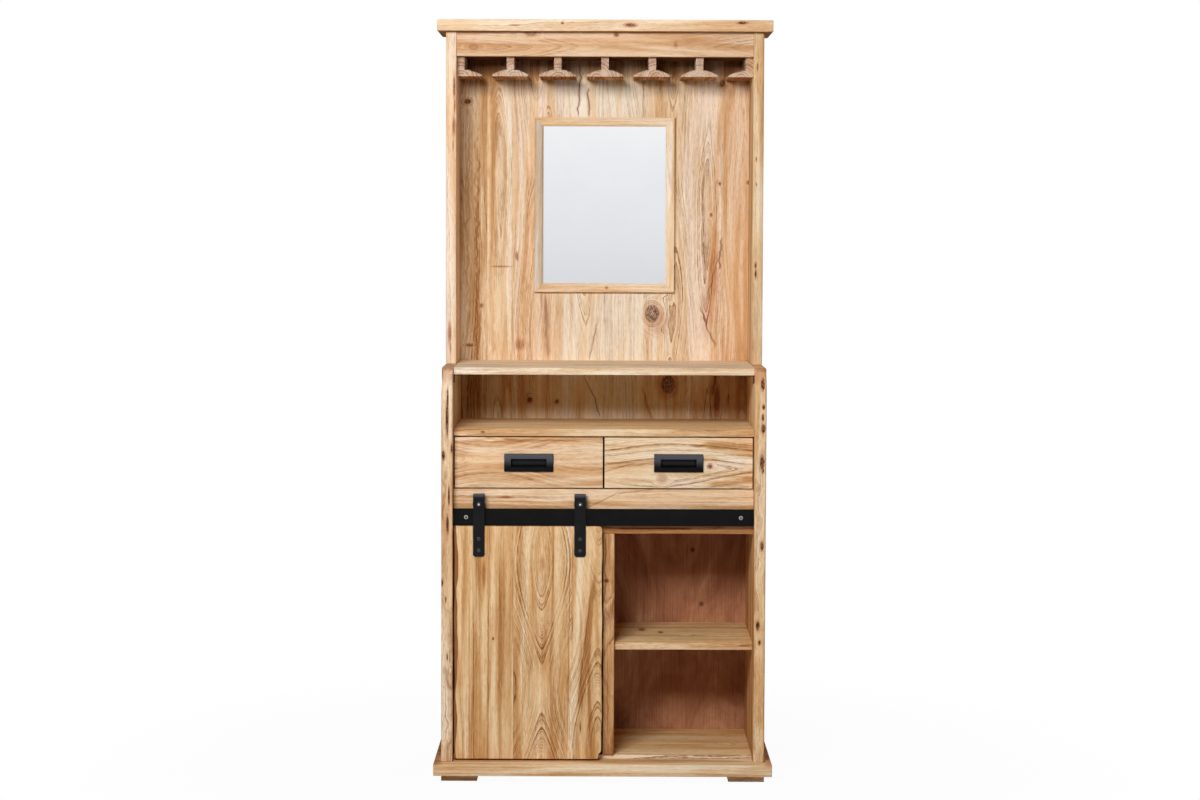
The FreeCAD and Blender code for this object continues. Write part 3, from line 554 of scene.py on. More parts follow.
def plateOf(line, low, high, axis, edge=0.0015, segments=3, inner=1, change=None):
    # an outline carried from low to high along an axis. Near each face it draws in along a quarter
    # circle: inset = edge * (1 - sin), level = low + edge * (1 - cos). change bends the result.
    edge = np.broadcast_to(edge, (len(line),))
    turn = np.linspace(0, math.pi / 2, segments + 1)
    inset = np.concatenate([1 - np.sin(turn), np.zeros(inner - 1), (1 - np.sin(turn))[::-1]])[:, None] * edge
    atLow = low + (1 - np.cos(turn))[:, None] * edge
    atHigh = high - (1 - np.cos(turn))[::-1, None] * edge
    share = np.linspace(0, 1, inner + 1)[1:-1, None]
    level = np.concatenate([atLow, low + edge + share * (high - low - 2 * edge), atHigh])
    keep = 0.97   # a little less than the whole edge, so that tight corners don't cross
    plane = line[None, :, :] - outwardOf(line)[None, :, :] * inset[:, :, None] * keep
    if change:
        plane, level = change(plane, level)
    across = [plane[..., 0], plane[..., 1]]
    across.insert("XYZ".index(axis), level)
    return swept(np.stack(across, axis=-1))


def rectangle(low, high):
    return [(low[0], low[1]), (high[0], low[1]), (high[0], high[1]), (low[0], high[1])]


def turned(rings, segments, centre, hexFlat=0.0):
    # rings (radius, place along Y, hex share) turned about the Y axis through the centre;
    # where the hex share is 1 the radius follows a hexagon of that flat distance
    radius, depth, share = (column[:, None] for column in np.asarray(rings, float).T)
    angle = np.linspace(0, 2 * math.pi, segments, endpoint=False)
    six = hexFlat / np.cos((angle + math.pi / 6) % (math.pi / 3) - math.pi / 6)
    radius = radius * (1 - share) + six * share
    around = [radius * np.cos(angle), np.broadcast_to(depth, radius.shape), radius * np.sin(angle)]
    return swept(np.stack(around, -1) + centre)


def together(parts):
    # several closed surfaces as one
    points, quads, caps, base = [], [], [], 0
    for p, q, c in parts:
        points.append(p)
        quads.append(q + base)
        caps += [ring + base for ring in c]
        base += len(p)
    return np.concatenate(points), np.concatenate(quads), caps


def waves(place, terms, seed=1):
    # the sum of sines, each from its height, rate and start, a multiple of the seed
    return sum(height * np.sin(place * rate + start * seed) for height, rate, start in terms)


# camera, fitted to the photograph, in metres and radians
viewSettings = {
    "place": (-0.0096, -6.0397, 1.3161),
    "pitch": 0.05608,
    "roll": 0.00372,
    "focal": 2514.5,       # in pixels of a picture this wide:
    "pictureWidth": 1200,
    "shift": -0.03,
}


def standAt(item, right, up, back, place):
    # an item's own axes as unit vectors, of which back points away from what it looks at
    turn = np.eye(4)
    turn[:3] = np.stack([right, up, back, place], axis=1)
    item.matrix_world = Matrix(turn.tolist())
    bpy.context.scene.collection.objects.link(item)


def addCamera(s):
    data = bpy.data.cameras.new("camera")
    data.lens = s["focal"] * data.sensor_width / s["pictureWidth"]
    data.shift_y = s["shift"]
    data.clip_end = 100
    camera = bpy.data.objects.new("camera", data)
    cos, sin = math.cos(s["pitch"]), math.sin(s["pitch"])
    right, up, back = np.array([1.0, 0, 0]), np.array([0, sin, cos]), np.array([0, -cos, sin])
    cos, sin = math.cos(s["roll"]), math.sin(s["roll"])
    standAt(camera, right * cos + up * sin, up * cos - right * sin, back, s["place"])
    bpy.context.scene.camera = camera


addCamera(viewSettings)
print("camera placed")


# carcass and hutch boards
boards = {
    # node: piece name and the settings of its wood
    "top_board": ("topBoard", dict(
        order="XYZ", seed=2.0, tone=0.0, pink=0.3, figure=0.9, pith=(-0.12, 0.03), wander=0.006,
        # the band paints shade on the underside and along the lower edge, below the overhang
        bands=[(1.772, 0.0, 0.0, 0.9, 0.0016, 0.0, 0.7)], lineAxis="Z", spots=[
            ((-0.2176, -0.01, 1.786), (0.01, 0.01, 0.0015), 0, 0.9, 0.35),
            ((-0.102, -0.01, 1.7912), (0.003, 0.01, 0.0022), 1, 1.0, 0.9),
            ((0.06, -0.01, 1.7869), (0.012, 0.01, 0.004), 1, 1.0, 0.75),
            ((0.3273, -0.01, 1.793), (0.01, 0.01, 0.0028), 1, 1.0, 1.0)])),
    "fascia_rail": ("fasciaRail", dict(
        order="XZY", seed=3.0, tone=0.06, pink=0.6, grey=0.25, figure=0.8, pith=(1.7358, 0.008),
        fold=(-0.315, 0.1, 0.42), pitch=0.006, wander=0.006, spots=[
            ((-0.315, 0.015, 1.7358), (0.01, 0.02, 0.006), 1, 0.55, 0.12),
            ((-0.178, 0.015, 1.768), (0.012, 0.02, 0.006), 1, 0.7, 0.35),
            ((0.0262, 0.015, 1.7655), (0.005, 0.01, 0.004), 1, 0.9, 0.8),
            ((0.169, 0.015, 1.7424), (0.004, 0.01, 0.006), 1, 0.45, 0.3)])),
    "counter_board": ("counterBoard", dict(
        order="XYZ", seed=5.0, tone=-0.46, pink=0.15, honey=0.3, figure=1.2, pith=(-0.02, 0.03), wander=0.008,
        bands=[(-0.141, 0.0, 0.0, 0.9, 0.006, 0.0, 0.32)])),
    "niche_board": ("nicheBoard", dict(
        order="XYZ", seed=6.0, tone=-0.3, pink=0.15, honey=0.8, figure=1.4, pith=(-0.05, 0.03), wander=0.008,
        bands=[(-0.138, 0.0, 0.0, 0.9, 0.006, 0.0, 0.5)], spots=[
            ((-0.285, -0.138, 0.8235), (0.004, 0.01, 0.002), 0, 1.0, 0.7)])),
    "floor_board": ("floorBoard", dict(
        order="XYZ", seed=7.0, tone=-0.16, pink=0.1, honey=0.85, figure=1.3, pith=(0.0, 0.03), wander=0.008,
        # the first band pales the front edge: painted light where the edge lies in shade
        bands=[(-0.133, 0.0, 0.0, 0.9, 0.006, 0.0, -0.55), (-0.085, 0.2, 0.02, 0.3, 0.022, 0.004, -0.2),
               (0.125, 0.2, 0.0, 0.4, 0.05, 0.004, 0.25), (0.02, 0.2, 0.0, 0.3, 0.008, 0.004, 0.2)])),
    "shelf_left": ("shelfLeft", dict(order="XYZ", seed=8.0, tone=0.05, pink=0.2, pith=(0.1, 0.03))),
    "shelf_right": ("shelfRight", dict(
        order="XYZ", seed=9.0, tone=-0.3, pink=0.15, honey=1.0, figure=1.6, pith=(-0.02, 0.03), wander=0.008,
        bands=[(-0.125, 0.18, 0.0, 0.7, 0.006, 0.0, 0.6), (0.09, 0.2, 0.0, 0.5, 0.016, 0.004, 0.2)], spots=[
            ((0.335, -0.125, 0.3157), (0.012, 0.01, 0.0012), 0, 0.8, 0.8),
            ((0.095, 0.06, 0.324), (0.007, 0.018, 0.01), 1, 1.0, 0.5),
            ((0.14, 0.02, 0.324), (0.005, 0.012, 0.01), 1, 1.0, 0.7)])),
    "cross_rail": ("crossRail", dict(
        order="XZY", seed=10.0, tone=0.16, pink=0.4, figure=1.1, pith=(0.6, 0.02), pitch=0.009, wander=0.012,
        spots=[((-0.2314, -0.138, 0.6693), (0.012, 0.01, 0.0018), 0, 1.0, 0.35)],
        cracks=[(0.662, -0.004, 0.5, 0.042, 0.0011, 0.001, 0.45),
                (0.684, 0.075, 0.14, 0.05, 0.001, 0.001, 0.4),
                (0.5962, 0.12, 0.0, 0.1, 0.0022, 0.0006, 0.75)],
        # the band and the last crack paint the track's shadow on the strip just below the track
        bands=[(0.594, 0.17, 0.0, 0.5, 0.014, 0.0006, 0.9)])),
    "plinth_board": ("plinthBoard", dict(
        order="XYZ", seed=12.0, tone=0.06, pink=0.15, honey=0.4, figure=0.9, pith=(-0.16, 0.05), wander=0.006,
        spots=[((sign * 0.394, 0.03, 0.046), (0.012, 0.19, 0.003), 0, 1.0, 0.35) for sign in (-1, 1)])),
}
boardEdge = 0.0015


def board(name, node, wood):
    # a board with eased edges where its CAD node lies, its outline across its thinnest direction
    low, high = extent(node)
    thin = int(np.argmin(high - low))
    flat = [i for i in range(3) if i != thin]
    line = roundedOutline(rectangle(low[flat], high[flat]), boardEdge * 1.2)
    material = acacia("wood_" + name, face=low["XYZ".index(wood["order"][2])], **wood)
    surface(name, plateOf(line, low[thin], high[thin], "XYZ"[thin], boardEdge), material, "cabinet", node)


for node, (name, wood) in boards.items():
    board(name, node, wood)
print("plain boards made")

dividerSettings = {
    "corner": 0.0018,
    "notchCorner": 0.0002,
    "edge": 0.0004,
    "reach": 0.008,        # how far back from the front the uneven edge fades out
    "frontEdge": (0.0014, 0.001, 31, 2),    # what the front edge adds: least, swell, rate and start
    "wood": dict(order="ZYX", seed=11.0, tone=0.32, pink=0.35, figure=1.5, pith=(0.1, 0.02), lineAxis="X",
                 spots=[((0.0075, -0.138, 0.472), (0.005, 0.01, 0.004), 1, 1.0, 1.0)],
                 cracks=[(0.0045, 0.5, 0.0, 0.09, 0.0014, 0.002, 0.55),
                         (0.011, 0.2, 0.0, 0.12, 0.0008, 0.002, 0.4)]),
}


def divider(s):
    # an upright board, notched for the cross rail. The front edge's rounding is the least plus the swell
    # times a squared sine of the height.
    low, high = extent("center_divider")
    railLow, railHigh = extent("cross_rail")
    corners = [(low[1], low[2]), (high[1], low[2]), (high[1], high[2]), (railHigh[1], high[2]),
               (railHigh[1], railLow[2]), (low[1], railLow[2])]
    c, n = s["corner"], s["notchCorner"]
    line = roundedOutline(corners, [c, c, c, n, n, c], step=0.01)
    onFront = np.clip(1 - (line[:, 0] - low[1]) / s["reach"], 0, 1)
    least, swell, rate, start = s["frontEdge"]
    edge = s["edge"] + onFront * (least + swell * np.sin(line[:, 1] * rate + start) ** 2)
    surface("centerDivider", plateOf(line, low[0], high[0], "X", edge, inner=3),
            acacia("wood_centerDivider", **s["wood"]), "cabinet", "center_divider", 40)


divider(dividerSettings)

feetSettings = {"wide": 0.085, "deep": 0.06, "corner": 0.0018,
                "wood": dict(order="XYZ", seed=13.0, tone=0.22, pink=0.4)}


def feet(s):
    # four blocks under the plinth, each a softened plate
    low, high = extent("block_feet")
    parts = []
    for x in (low[0], high[0] - s["wide"]):
        for y in (low[1], high[1] - s["deep"]):
            line = roundedOutline(rectangle((x, y), (x + s["wide"], y + s["deep"])), s["corner"])
            parts.append(plateOf(line, low[2], high[2], "Z"))
    surface("blockFeet", together(parts), acacia("wood_feet", **s["wood"]), "cabinet", "block_feet")


feet(feetSettings)

backSettings = {
    "sideGap": 0.002,      # the planks are this much narrower below the hutch's sides
    "corner": 0.0008,
    "edge": 0.0006,
    "wood": dict(grey=0.1, pith=(0.0, 0.014), fold=(1.25, 0.06, 0.33), pitch=0.0085),
    "planks": (-0.356, 0.356, [
        # left edge, seed, tone, pink, pith across, figure, fold's shift
        (-0.356, 0.06, 0.62, 0.0, -0.4, 1.5, 0.0), (-0.29, 0.14, 0.44, 0.05, -0.26, 0.9, 0.2),
        (-0.226, 0.62, 0.33, 0.45, -0.17, 1.1, -0.1), (-0.144, 0.31, 0.28, 0.25, -0.14, 1.2, 0.1),
        (-0.102, 0.73, 0.18, 0.05, -0.05, 0.9, 0.0), (-0.003, 0.22, 0.18, 0.0, 0.12, 1.0, -0.2),
        (0.0965, 0.45, 0.3, 0.12, 0.17, 1.2, -0.1), (0.2056, 0.83, 0.27, 0.38, 0.25, 1.3, 0.05),
        (0.2898, 0.53, 0.52, 0.45, 0.34, 0.9, 0.15)]),
    "spotDepth": 0.02,     # half the depth of the spots, which lie on the front
    "spots": [
        # (across, height), half width, half height, hold on the rings, stain, core
        ((-0.3383, 1.6135), 0.008, 0.006, 1, 1.0, 0.95), ((-0.333, 1.0126), 0.008, 0.003, 1, 1.0, 0.55),
        ((-0.3036, 1.1108), 0.004, 0.004, 1, 1.0, 0.5), ((-0.2534, 1.2074), 0.017, 0.0016, 0, 0.9, 0.12),
        ((-0.216, 1.233), 0.003, 0.008, 0, 1.0, 0.25), ((-0.208, 1.014), 0.01, 0.01, 0, 0.6, 0.25),
        ((0.119, 1.092), 0.016, 0.019, 1, 0.5, 0.8), ((0.135, 1.072), 0.016, 0.022, 0, 0.6, 0.0),
        ((0.1583, 0.9164), 0.017, 0.022, 1, 0.7, 0.85), ((-0.1842, 0.8764), 0.006, 0.007, 1, 1.0, 1.0),
        ((-0.1165, 0.8727), 0.0045, 0.005, 1, 1.0, 0.7), ((0.2893, 1.6605), 0.007, 0.01, 1, 0.7, 0.8),
        ((0.2843, 1.4135), 0.003, 0.004, 1, 1.0, 0.6), ((0.2637, 1.3361), 0.003, 0.004, 1, 1.0, 0.6),
        ((0.255, 1.11), 0.009, 0.05, 0, 0.55, 0.0), ((0.27, 1.19), 0.007, 0.04, 0, 0.55, 0.0),
        ((0.3557, 1.4168), 0.004, 0.004, 1, 1.0, 0.7), ((0.2806, 0.88), 0.007, 0.03, 1, 1.0, 0.6)],
    "cracks": [
        # across, along, slope, half length, half width, wander, darkness
        (-0.063, 1.643, 0.02, 0.072, 0.0019, 0.0035, 0.75),
        (-0.0405, 1.612, -0.05, 0.04, 0.0021, 0.0035, 0.7),
        (0.0946, 1.61, 0.04, 0.07, 0.0014, 0.0015, 0.42), (-0.1417, 1.06, -0.05, 0.085, 0.006, 0.002, 0.36),
        (-0.0265, 1.025, 0.2, 0.052, 0.0018, 0.0015, 0.45), (0.286, 1.24, 0.1, 0.045, 0.0024, 0.004, 0.6),
        (0.268, 1.18, 0.25, 0.06, 0.002, 0.006, 0.5), (0.256, 1.06, -0.35, 0.06, 0.0024, 0.006, 0.5),
        (0.0, 1.745, 0.0, 0.08, 1.4, 0.0, 0.25),   # the shade under the rack, as wide as the back
        (-0.0252, 0.883, -0.41, 0.055, 0.0014, 0.003, 0.6), (0.274, 0.924, 0.1, 0.04, 0.005, 0.003, 0.6),
        (0.309, 0.88, 0.02, 0.016, 0.0016, 0.002, 0.5)],
    "bands": [
        # the first band, with the wide crack above, paints the shade under the rack at the top of the back
        (0.0, 1.745, 0.0, 0.1, 1.4, 0.0, 0.45),
        (-0.093, 0.98, 0.0, 0.2, 0.015, 0.002, -0.4), (0.215, 1.32, 0.0, 0.4, 0.011, 0.002, -0.5),
        (0.229, 1.04, 0.0, 0.15, 0.014, 0.003, -0.38), (0.006, 1.0, 0.0, 0.17, 0.009, 0.001, -0.38),
        (-0.235, 1.3, 0.0, 0.38, 0.009, 0.002, -0.45), (0.284, 1.25, 0.0, 0.35, 0.005, 0.002, -0.35),
        (-0.108, 1.62, 0.0, 0.08, 0.007, 0.001, -0.4), (-0.068, 1.6, 0.0, 0.08, 0.012, 0.002, -0.3),
        (-0.012, 1.6, 0.0, 0.08, 0.012, 0.002, -0.35), (0.262, 1.15, 0.08, 0.19, 0.015, 0.005, 0.24),
        (-0.315, 1.3, 0.0, 0.5, 0.005, 0.006, 0.2), (-0.338, 1.2, 0.01, 0.4, 0.004, 0.006, 0.2),
        (-0.276, 1.35, 0.01, 0.48, 0.015, 0.005, 0.22), (-0.195, 1.25, 0.02, 0.3, 0.01, 0.004, 0.18),
        (0.15, 1.56, 0.0, 0.23, 0.07, 0.0, 0.2),
        # below the counter
        # the first band, as wide as the back, paints shade on the planks in the niche under the counter
        (0.0, 0.875, 0.0, 0.085, 1.4, 0.0, 0.16), (-0.093, 0.875, 0.0, 0.09, 0.01, 0.001, -0.5),
        (-0.239, 0.855, 0.0, 0.06, 0.011, 0.002, -0.36), (0.211, 0.875, 0.0, 0.09, 0.011, 0.002, -0.42),
        (-0.018, 0.865, 0.0, 0.07, 0.012, 0.003, -0.3), (0.11, 0.86, -0.3, 0.06, 0.006, 0.002, 0.35)],
}


def backPlanks(s):
    # one plate for the glued planks, stepped in at the foot of the hutch's sides
    low, high = extent("back_planks")
    foot, gap = extent("hutch_side_left")[0][2], s["sideGap"]
    corners = [(low[0] + gap, low[2]), (high[0] - gap, low[2]), (high[0] - gap, foot), (high[0], foot),
               (high[0], high[2]), (low[0], high[2]), (low[0], foot), (low[0] + gap, foot)]
    line = roundedOutline(corners, s["corner"])
    spots = [((x, low[1], z), (wide, s["spotDepth"], tall), *rest)
             for (x, z), wide, tall, *rest in s["spots"]]
    wood = acacia("wood_backPlanks", face=low[1], planks=s["planks"], spots=spots,
                  cracks=s["cracks"], bands=s["bands"], **s["wood"])
    surface("backPlanks", plateOf(line, low[1], high[1], "Y", s["edge"]), wood, "cabinet", "back_planks")


backPlanks(backSettings)
print("back planks made")


# side boards
baseSettings = {
    "inset": 0.0023,       # the box's front to the mean front edge, for the waves
    "reach": 0.02,         # how far back from the front the waves fade out
    "corner": 0.03,       # radius of the upper front corner
    "easing": 0.0015,      # of the other corners
    "step": 0.0035,        # between the points of the outline
    "rows": 14,            # of faces across the thickness
    "edge": 0.0016,
    "frontEdge": 0.0022,   # what the front edge adds, and the waves of its rounding below
    "edgeWaves": ((0.0012, 43, 3), (0.0006, 118, 1)),
    "waves": ((0.0011, 31, 1), (0.0007, 67, 2), (0.0003, 171, 1)),
    "leanHeight": 0.07,    # stretch below the top in which the outer face leans in
    "stain": ((0.025, 0.03, 0.016), 0, 0.55, 0.0),   # the grey of the round corner, as a spot
    "stainHeight": 0.965,
    "holeSpot": (1.15, 0.012, 1.1),    # a hole's dark spot: width as a multiple, depth, height as a multiple
    "wood": dict(order="ZYX", figure=1.1, pith=(0.05, 0.03), wander=0.006, lineAxis="X"),
    "innerBand": (0.3, 0.0, 0.6, 0.002, 0.0, 0.35),    # the darker line along the edge's inner side
}
baseSides = {
    # bark holes: (height, place across the edge as a share, half height, half width, depth)
    "right": dict(node="base_side_right", seed=21.0, tone=0.0, pink=0.25, honey=0.4, taper=0.002, holes=[
        (0.9404, 0.66, 0.013, 0.0036, 0.006), (0.8864, 0.74, 0.005, 0.0025, 0.004),
        (0.8621, 0.69, 0.007, 0.0024, 0.004), (0.835, 0.75, 0.01, 0.004, 0.006),
        (0.7567, 0.66, 0.015, 0.0045, 0.007), (0.738, 0.72, 0.006, 0.002, 0.003),
        (0.5594, 0.69, 0.01, 0.0032, 0.005), (0.3709, 0.37, 0.01, 0.0036, 0.005),
        (0.3309, 0.52, 0.005, 0.0025, 0.003)]),
    "left": dict(node="base_side_left", seed=22.0, tone=-0.03, pink=0.3, honey=0.0, taper=0.0075, holes=[
        (0.904, 0.57, 0.022, 0.0016, 0.004), (0.856, 0.52, 0.036, 0.0027, 0.005),
        (0.7701, 0.18, 0.01, 0.0036, 0.004), (0.7864, 0.91, 0.009, 0.0018, 0.004),
        (0.6741, 0.68, 0.02, 0.0018, 0.003), (0.608, 0.56, 0.02, 0.0024, 0.004),
        (0.4705, 0.06, 0.007, 0.0026, 0.004), (0.43, 0.41, 0.006, 0.0012, 0.002),
        (0.295, 0.54, 0.008, 0.0012, 0.002)]),
}


def baseSide(side, s, shared):
    # the outline in depth and height is carried across the thickness. On the front edge it moves back by
    # the sum of the bark holes' bell curves and by slow waves, and the edge's rounding varies with height.
    # Near the top the outer face leans in by the taper times a squared share of the height.
    low, high = extent(s["node"])
    thick = high[0] - low[0]
    front = low[1] + shared["inset"]
    radii = [shared["easing"]] * 3 + [shared["corner"]]
    line = roundedOutline(rectangle((front, low[2]), high[1:]), radii, 10, shared["step"])
    onFront = np.clip(1 - (line[:, 0] - front) / shared["reach"], 0, 1)
    z, seed = line[:, 1], s["seed"]
    wave = waves(z, shared["waves"], seed) * onFront
    edge = shared["edge"] + onFront * (shared["frontEdge"] + waves(z, shared["edgeWaves"], seed))

    def dent(plane, level):
        share = (level - low[0]) / thick
        push = wave + np.zeros_like(level)
        for height, place, tall, wide, deep in s["holes"]:
            away = ((plane[..., 1] - height) / tall) ** 2 + ((share - place) * thick / wide) ** 2
            push += deep * np.exp(-away) * onFront
        plane[..., 0] += push
        nearTop = np.clip((plane[..., 1] - high[2]) / shared["leanHeight"] + 1, 0, 1)
        inward = share if side == "right" else share - 1
        return plane, level - s["taper"] * nearTop ** 2 * onFront * inward

    wider, behind, taller = shared["holeSpot"]
    spots = [((low[0] + place * thick, front, height), (wide * wider, behind, tall * taller), 1, 0.8, 1.0)
             for height, place, tall, wide, deep in s["holes"]]
    spots.append((((low[0] + high[0]) / 2, front, shared["stainHeight"]), *shared["stain"]))
    innerFace = low[0] if side == "right" else high[0]
    wood = acacia(f"wood_baseSide_{side}", seed=seed, tone=s["tone"], pink=s["pink"], honey=s["honey"],
                  face=low[0], spots=spots, bands=[(innerFace, *shared["innerBand"])], **shared["wood"])
    plate = plateOf(line, low[0], high[0], "X", edge, inner=shared["rows"], change=dent)
    surface(f"baseSide_{side}", plate, wood, "cabinet", s["node"], 50)


hutchSettings = {
    "corner": 0.0015, "step": 0.008, "reach": 0.01,
    "inset": 0.0006, "waves": ((0.0004, 37, 1), (0.0002, 97, 0)),
    "edge": 0.0015, "frontEdge": 0.0008, "edgeWaves": ((0.0008, 29, 1),),
    "spotDepth": 0.01,
    "wood": dict(order="ZYX", pith=(0.12, 0.04), wander=0.006),
}
hutchSides = {
    # spots: (across, height), half width, half height, stain, core
    "left": dict(node="hutch_side_left", seed=23.0, tone=-0.14, pink=0.6, spots=[
        ((-0.3615, 1.64), 0.0022, 0.022, 1.0, 0.7), ((-0.362, 1.545), 0.0026, 0.016, 1.0, 0.3),
        ((-0.36, 1.595), 0.0014, 0.012, 1.0, 0.2), ((-0.364, 1.5), 0.001, 0.01, 1.0, 0.2),
        ((-0.372, 1.05), 0.003, 0.018, 1.0, 0.3), ((-0.37, 1.015), 0.0012, 0.012, 1.0, 0.3)]),
    "right": dict(node="hutch_side_right", seed=24.0, tone=0.16, pink=0.0, spots=[
        ((0.365, 1.69), 0.0014, 0.008, 0.8, 0.7), ((0.3635, 1.47), 0.0012, 0.005, 0.8, 0.8),
        ((0.364, 1.41), 0.0012, 0.004, 0.8, 0.8), ((0.3635, 1.215), 0.0022, 0.006, 1.0, 1.0),
        ((0.364, 1.195), 0.002, 0.009, 1.0, 0.9)]),
}


def hutchSide(side, s, shared):
    # like the base's sides but nearly straight: slow waves on the front edge only
    low, high = extent(s["node"])
    line = roundedOutline(rectangle(low[1:], high[1:]), shared["corner"], step=shared["step"])
    onFront = np.clip(1 - (line[:, 0] - low[1]) / shared["reach"], 0, 1)
    z, seed = line[:, 1], s["seed"]
    wave = onFront * (shared["inset"] + waves(z, shared["waves"], seed))
    edge = shared["edge"] + onFront * (shared["frontEdge"] + waves(z, shared["edgeWaves"], seed))

    def bend(plane, level):
        plane[..., 0] += wave
        return plane, level

    spots = [((x, low[1], height), (wide, shared["spotDepth"], tall), 0, stain, core)
             for (x, height), wide, tall, stain, core in s["spots"]]
    wood = acacia(f"wood_hutchSide_{side}", seed=seed, tone=s["tone"], pink=s["pink"], face=low[0],
                  spots=spots, **shared["wood"])
    plate = plateOf(line, low[0], high[0], "X", edge, inner=2, change=bend)
    surface(f"hutchSide_{side}", plate, wood, "cabinet", s["node"], 50)


for side, settings in baseSides.items():
    baseSide(side, settings, baseSettings)
for side, settings in hutchSides.items():
    hutchSide(side, settings, hutchSettings)
print("side boards made")


# stemware rack
rackSettings = {
    "stem": 0.018, "wing": 0.035, "endWing": 0.041, "thick": 0.016, "tip": 0.005, "shoulder": 0.008,
    "crown": 0.0006,       # rise of a flange's slope over its chord
    "nose": 0.0012,        # radius of a flange's tip
    "fillet": 0.0008,      # between the stem and the flange
    "edge": 0.0004,
    "tones": (-0.34, -0.42, -0.36, -0.42, -0.34, -0.38, -0.38),
    "piths": (0.0, 0.01, 0.0, -0.02, 0.01, 0.0, -0.02),    # across, from the middle of each rail
    "pithDepths": (0.01, 0.006, 0.002),    # one after another
    "seed": 30.0,          # plus the rail's number
    "wood": dict(order="YXZ", pink=0.3, grey=0.5, figure=1.9, wander=0.002, pitch=0.0065, lineAxis="Z"),
    # painted shade: the band darkens the flange's underside and its lower edge
    "paintedShadeEdge": (0.0, 0.3, 0.0014, 0.0, 0.9),    # the band along the lower edge
}


def glassRail(index, s):
    # the section of stem and crowned flange is carried along the depth; the first and last are halves
    number = index + 1
    last = len(s["tones"]) - 1
    low, high = extent(f"glass_rail_{number}")
    top, bottom = high[2], low[2]
    shoulder = bottom + s["thick"]
    half, nose, fillet = s["stem"] / 2, s["nose"], s["fillet"]
    reach = half + (s["endWing"] if index in (0, last) else s["wing"])
    middle = {0: low[0] + half, last: high[0] - half}.get(index, (low[0] + high[0]) / 2)
    slope = np.linspace(0, 1, 9)
    across = half + s["shoulder"] + slope * (reach - half - s["shoulder"] - nose)
    height = shoulder + slope * (s["tip"] - s["thick"]) + 4 * s["crown"] * slope * (1 - slope)
    turn = np.linspace(0, math.pi / 2, 5)[1:]
    away, down = nose * (1 - np.sin(turn)), nose * (1 - np.cos(turn))
    upperTip = np.stack([reach - away, bottom + s["tip"] - down], 1)
    lowerTip = np.stack([reach - down / 2, bottom + away / 2], 1)
    right = np.concatenate([[(half, top), (half, shoulder + fillet), (half + fillet, shoulder)],
                            np.stack([across, height], 1), upperTip, lowerTip])
    left = (right * [-1, 1])[::-1]
    if index == 0:
        left = np.array([(-half, bottom), (-half, top)])
    if index == last:
        right = np.array([(half, top), (half, bottom)])
    line = np.concatenate([right, left]) + [middle, 0]
    pith = (middle + s["piths"][index], s["pithDepths"][number % 3])
    paintedShadeEdge = (bottom, (low[1] + high[1]) / 2, *s["paintedShadeEdge"])
    wood = acacia(f"wood_glassRail_{number}", seed=s["seed"] + number, tone=s["tones"][index],
                  face=bottom, pith=pith, bands=[paintedShadeEdge], **s["wood"])
    surface(f"glassRail_{number}", plateOf(line, low[1], high[1], "Y", s["edge"]), wood, "cabinet",
            f"glass_rail_{number}", 40)


for index in range(len(rackSettings["tones"])):
    glassRail(index, rackSettings)
print("stemware rack made")


# mirror frame
frameSettings = {"width": 0.345, "height": 0.43, "bar": 0.022, "thick": 0.014, "bevel": 0.005,
                 "bevelDepth": 0.004, "rebate": 0.006, "glass": 0.0082, "round": 0.0018}
frameWoods = {
    # turn about the mirror's centre in quarters, and the wood
    "top": (0, dict(order="XZY", seed=41.0, tone=0.08, pink=0.2, pith=(1.58, 0.01))),
    "right": (1, dict(order="ZXY", seed=42.0, tone=-0.02, pink=0.15, pith=(0.16, 0.01),
                      bands=[(0.16, 1.46, 0.03, 0.12, 0.012, 0.001, -0.3)])),
    "bottom": (2, dict(order="XZY", seed=43.0, tone=0.0, pink=0.3, spots=[
        ((0.006, 0.168, 1.156), (0.003, 0.01, 0.0025), 0, 1.0, 0.3)])),
    "left": (3, dict(order="ZXY", seed=44.0, tone=-0.06, pink=0.1, grey=1.0, pith=(-0.16, 0.008))),
}


def frameBar(name, quarter, wood, centre, s):
    # the bar's section (inward distance, depth) runs along the bar, and each point stops at the mitre:
    # its end lies at half the length less its inward distance
    length, reach = (s["width"], s["height"] / 2) if quarter % 2 == 0 else (s["height"], s["width"] / 2)
    wide, thick, r = s["bar"], s["thick"], s["round"]
    foot = thick - s["bevelDepth"]
    inward, depth = np.array([
        (0, 0), (0, thick - r), (0.3 * r, thick - 0.3 * r), (r, thick), (wide - s["bevel"] - 0.0008, thick),
        (wide - s["bevel"] + 0.0008, thick - 0.0006), (wide - 0.0006, foot + 0.0003), (wide, foot - 0.0006),
        (wide, s["glass"]), (wide - s["rebate"], s["glass"]), (wide - s["rebate"], 0)]).T
    along = np.array([-1.0, -0.98, 0.0, 0.98, 1.0])[:, None] * (length / 2 - inward)
    up = reach - inward
    cos, sin = math.cos(quarter * math.pi / 2), math.sin(quarter * math.pi / 2)
    points = [centre[0] + along * cos + up * sin, np.broadcast_to(centre[1] - depth, along.shape),
              centre[2] - along * sin + up * cos]
    surface(f"mirrorFrame_{name}", swept(np.stack(points, -1)),
            acacia(f"wood_mirrorFrame_{name}", figure=0.8, face=centre[1] - thick, **wood), "cabinet",
            f"mirror_frame_{name}", 30)


frameLow, frameHigh = extent("mirror_frame_left")
mirrorCentre = (0.0, frameHigh[1], (frameLow[2] + frameHigh[2]) / 2)
for name, (quarter, wood) in frameWoods.items():
    frameBar(name, quarter, wood, mirrorCentre, frameSettings)
print("mirror frame made")


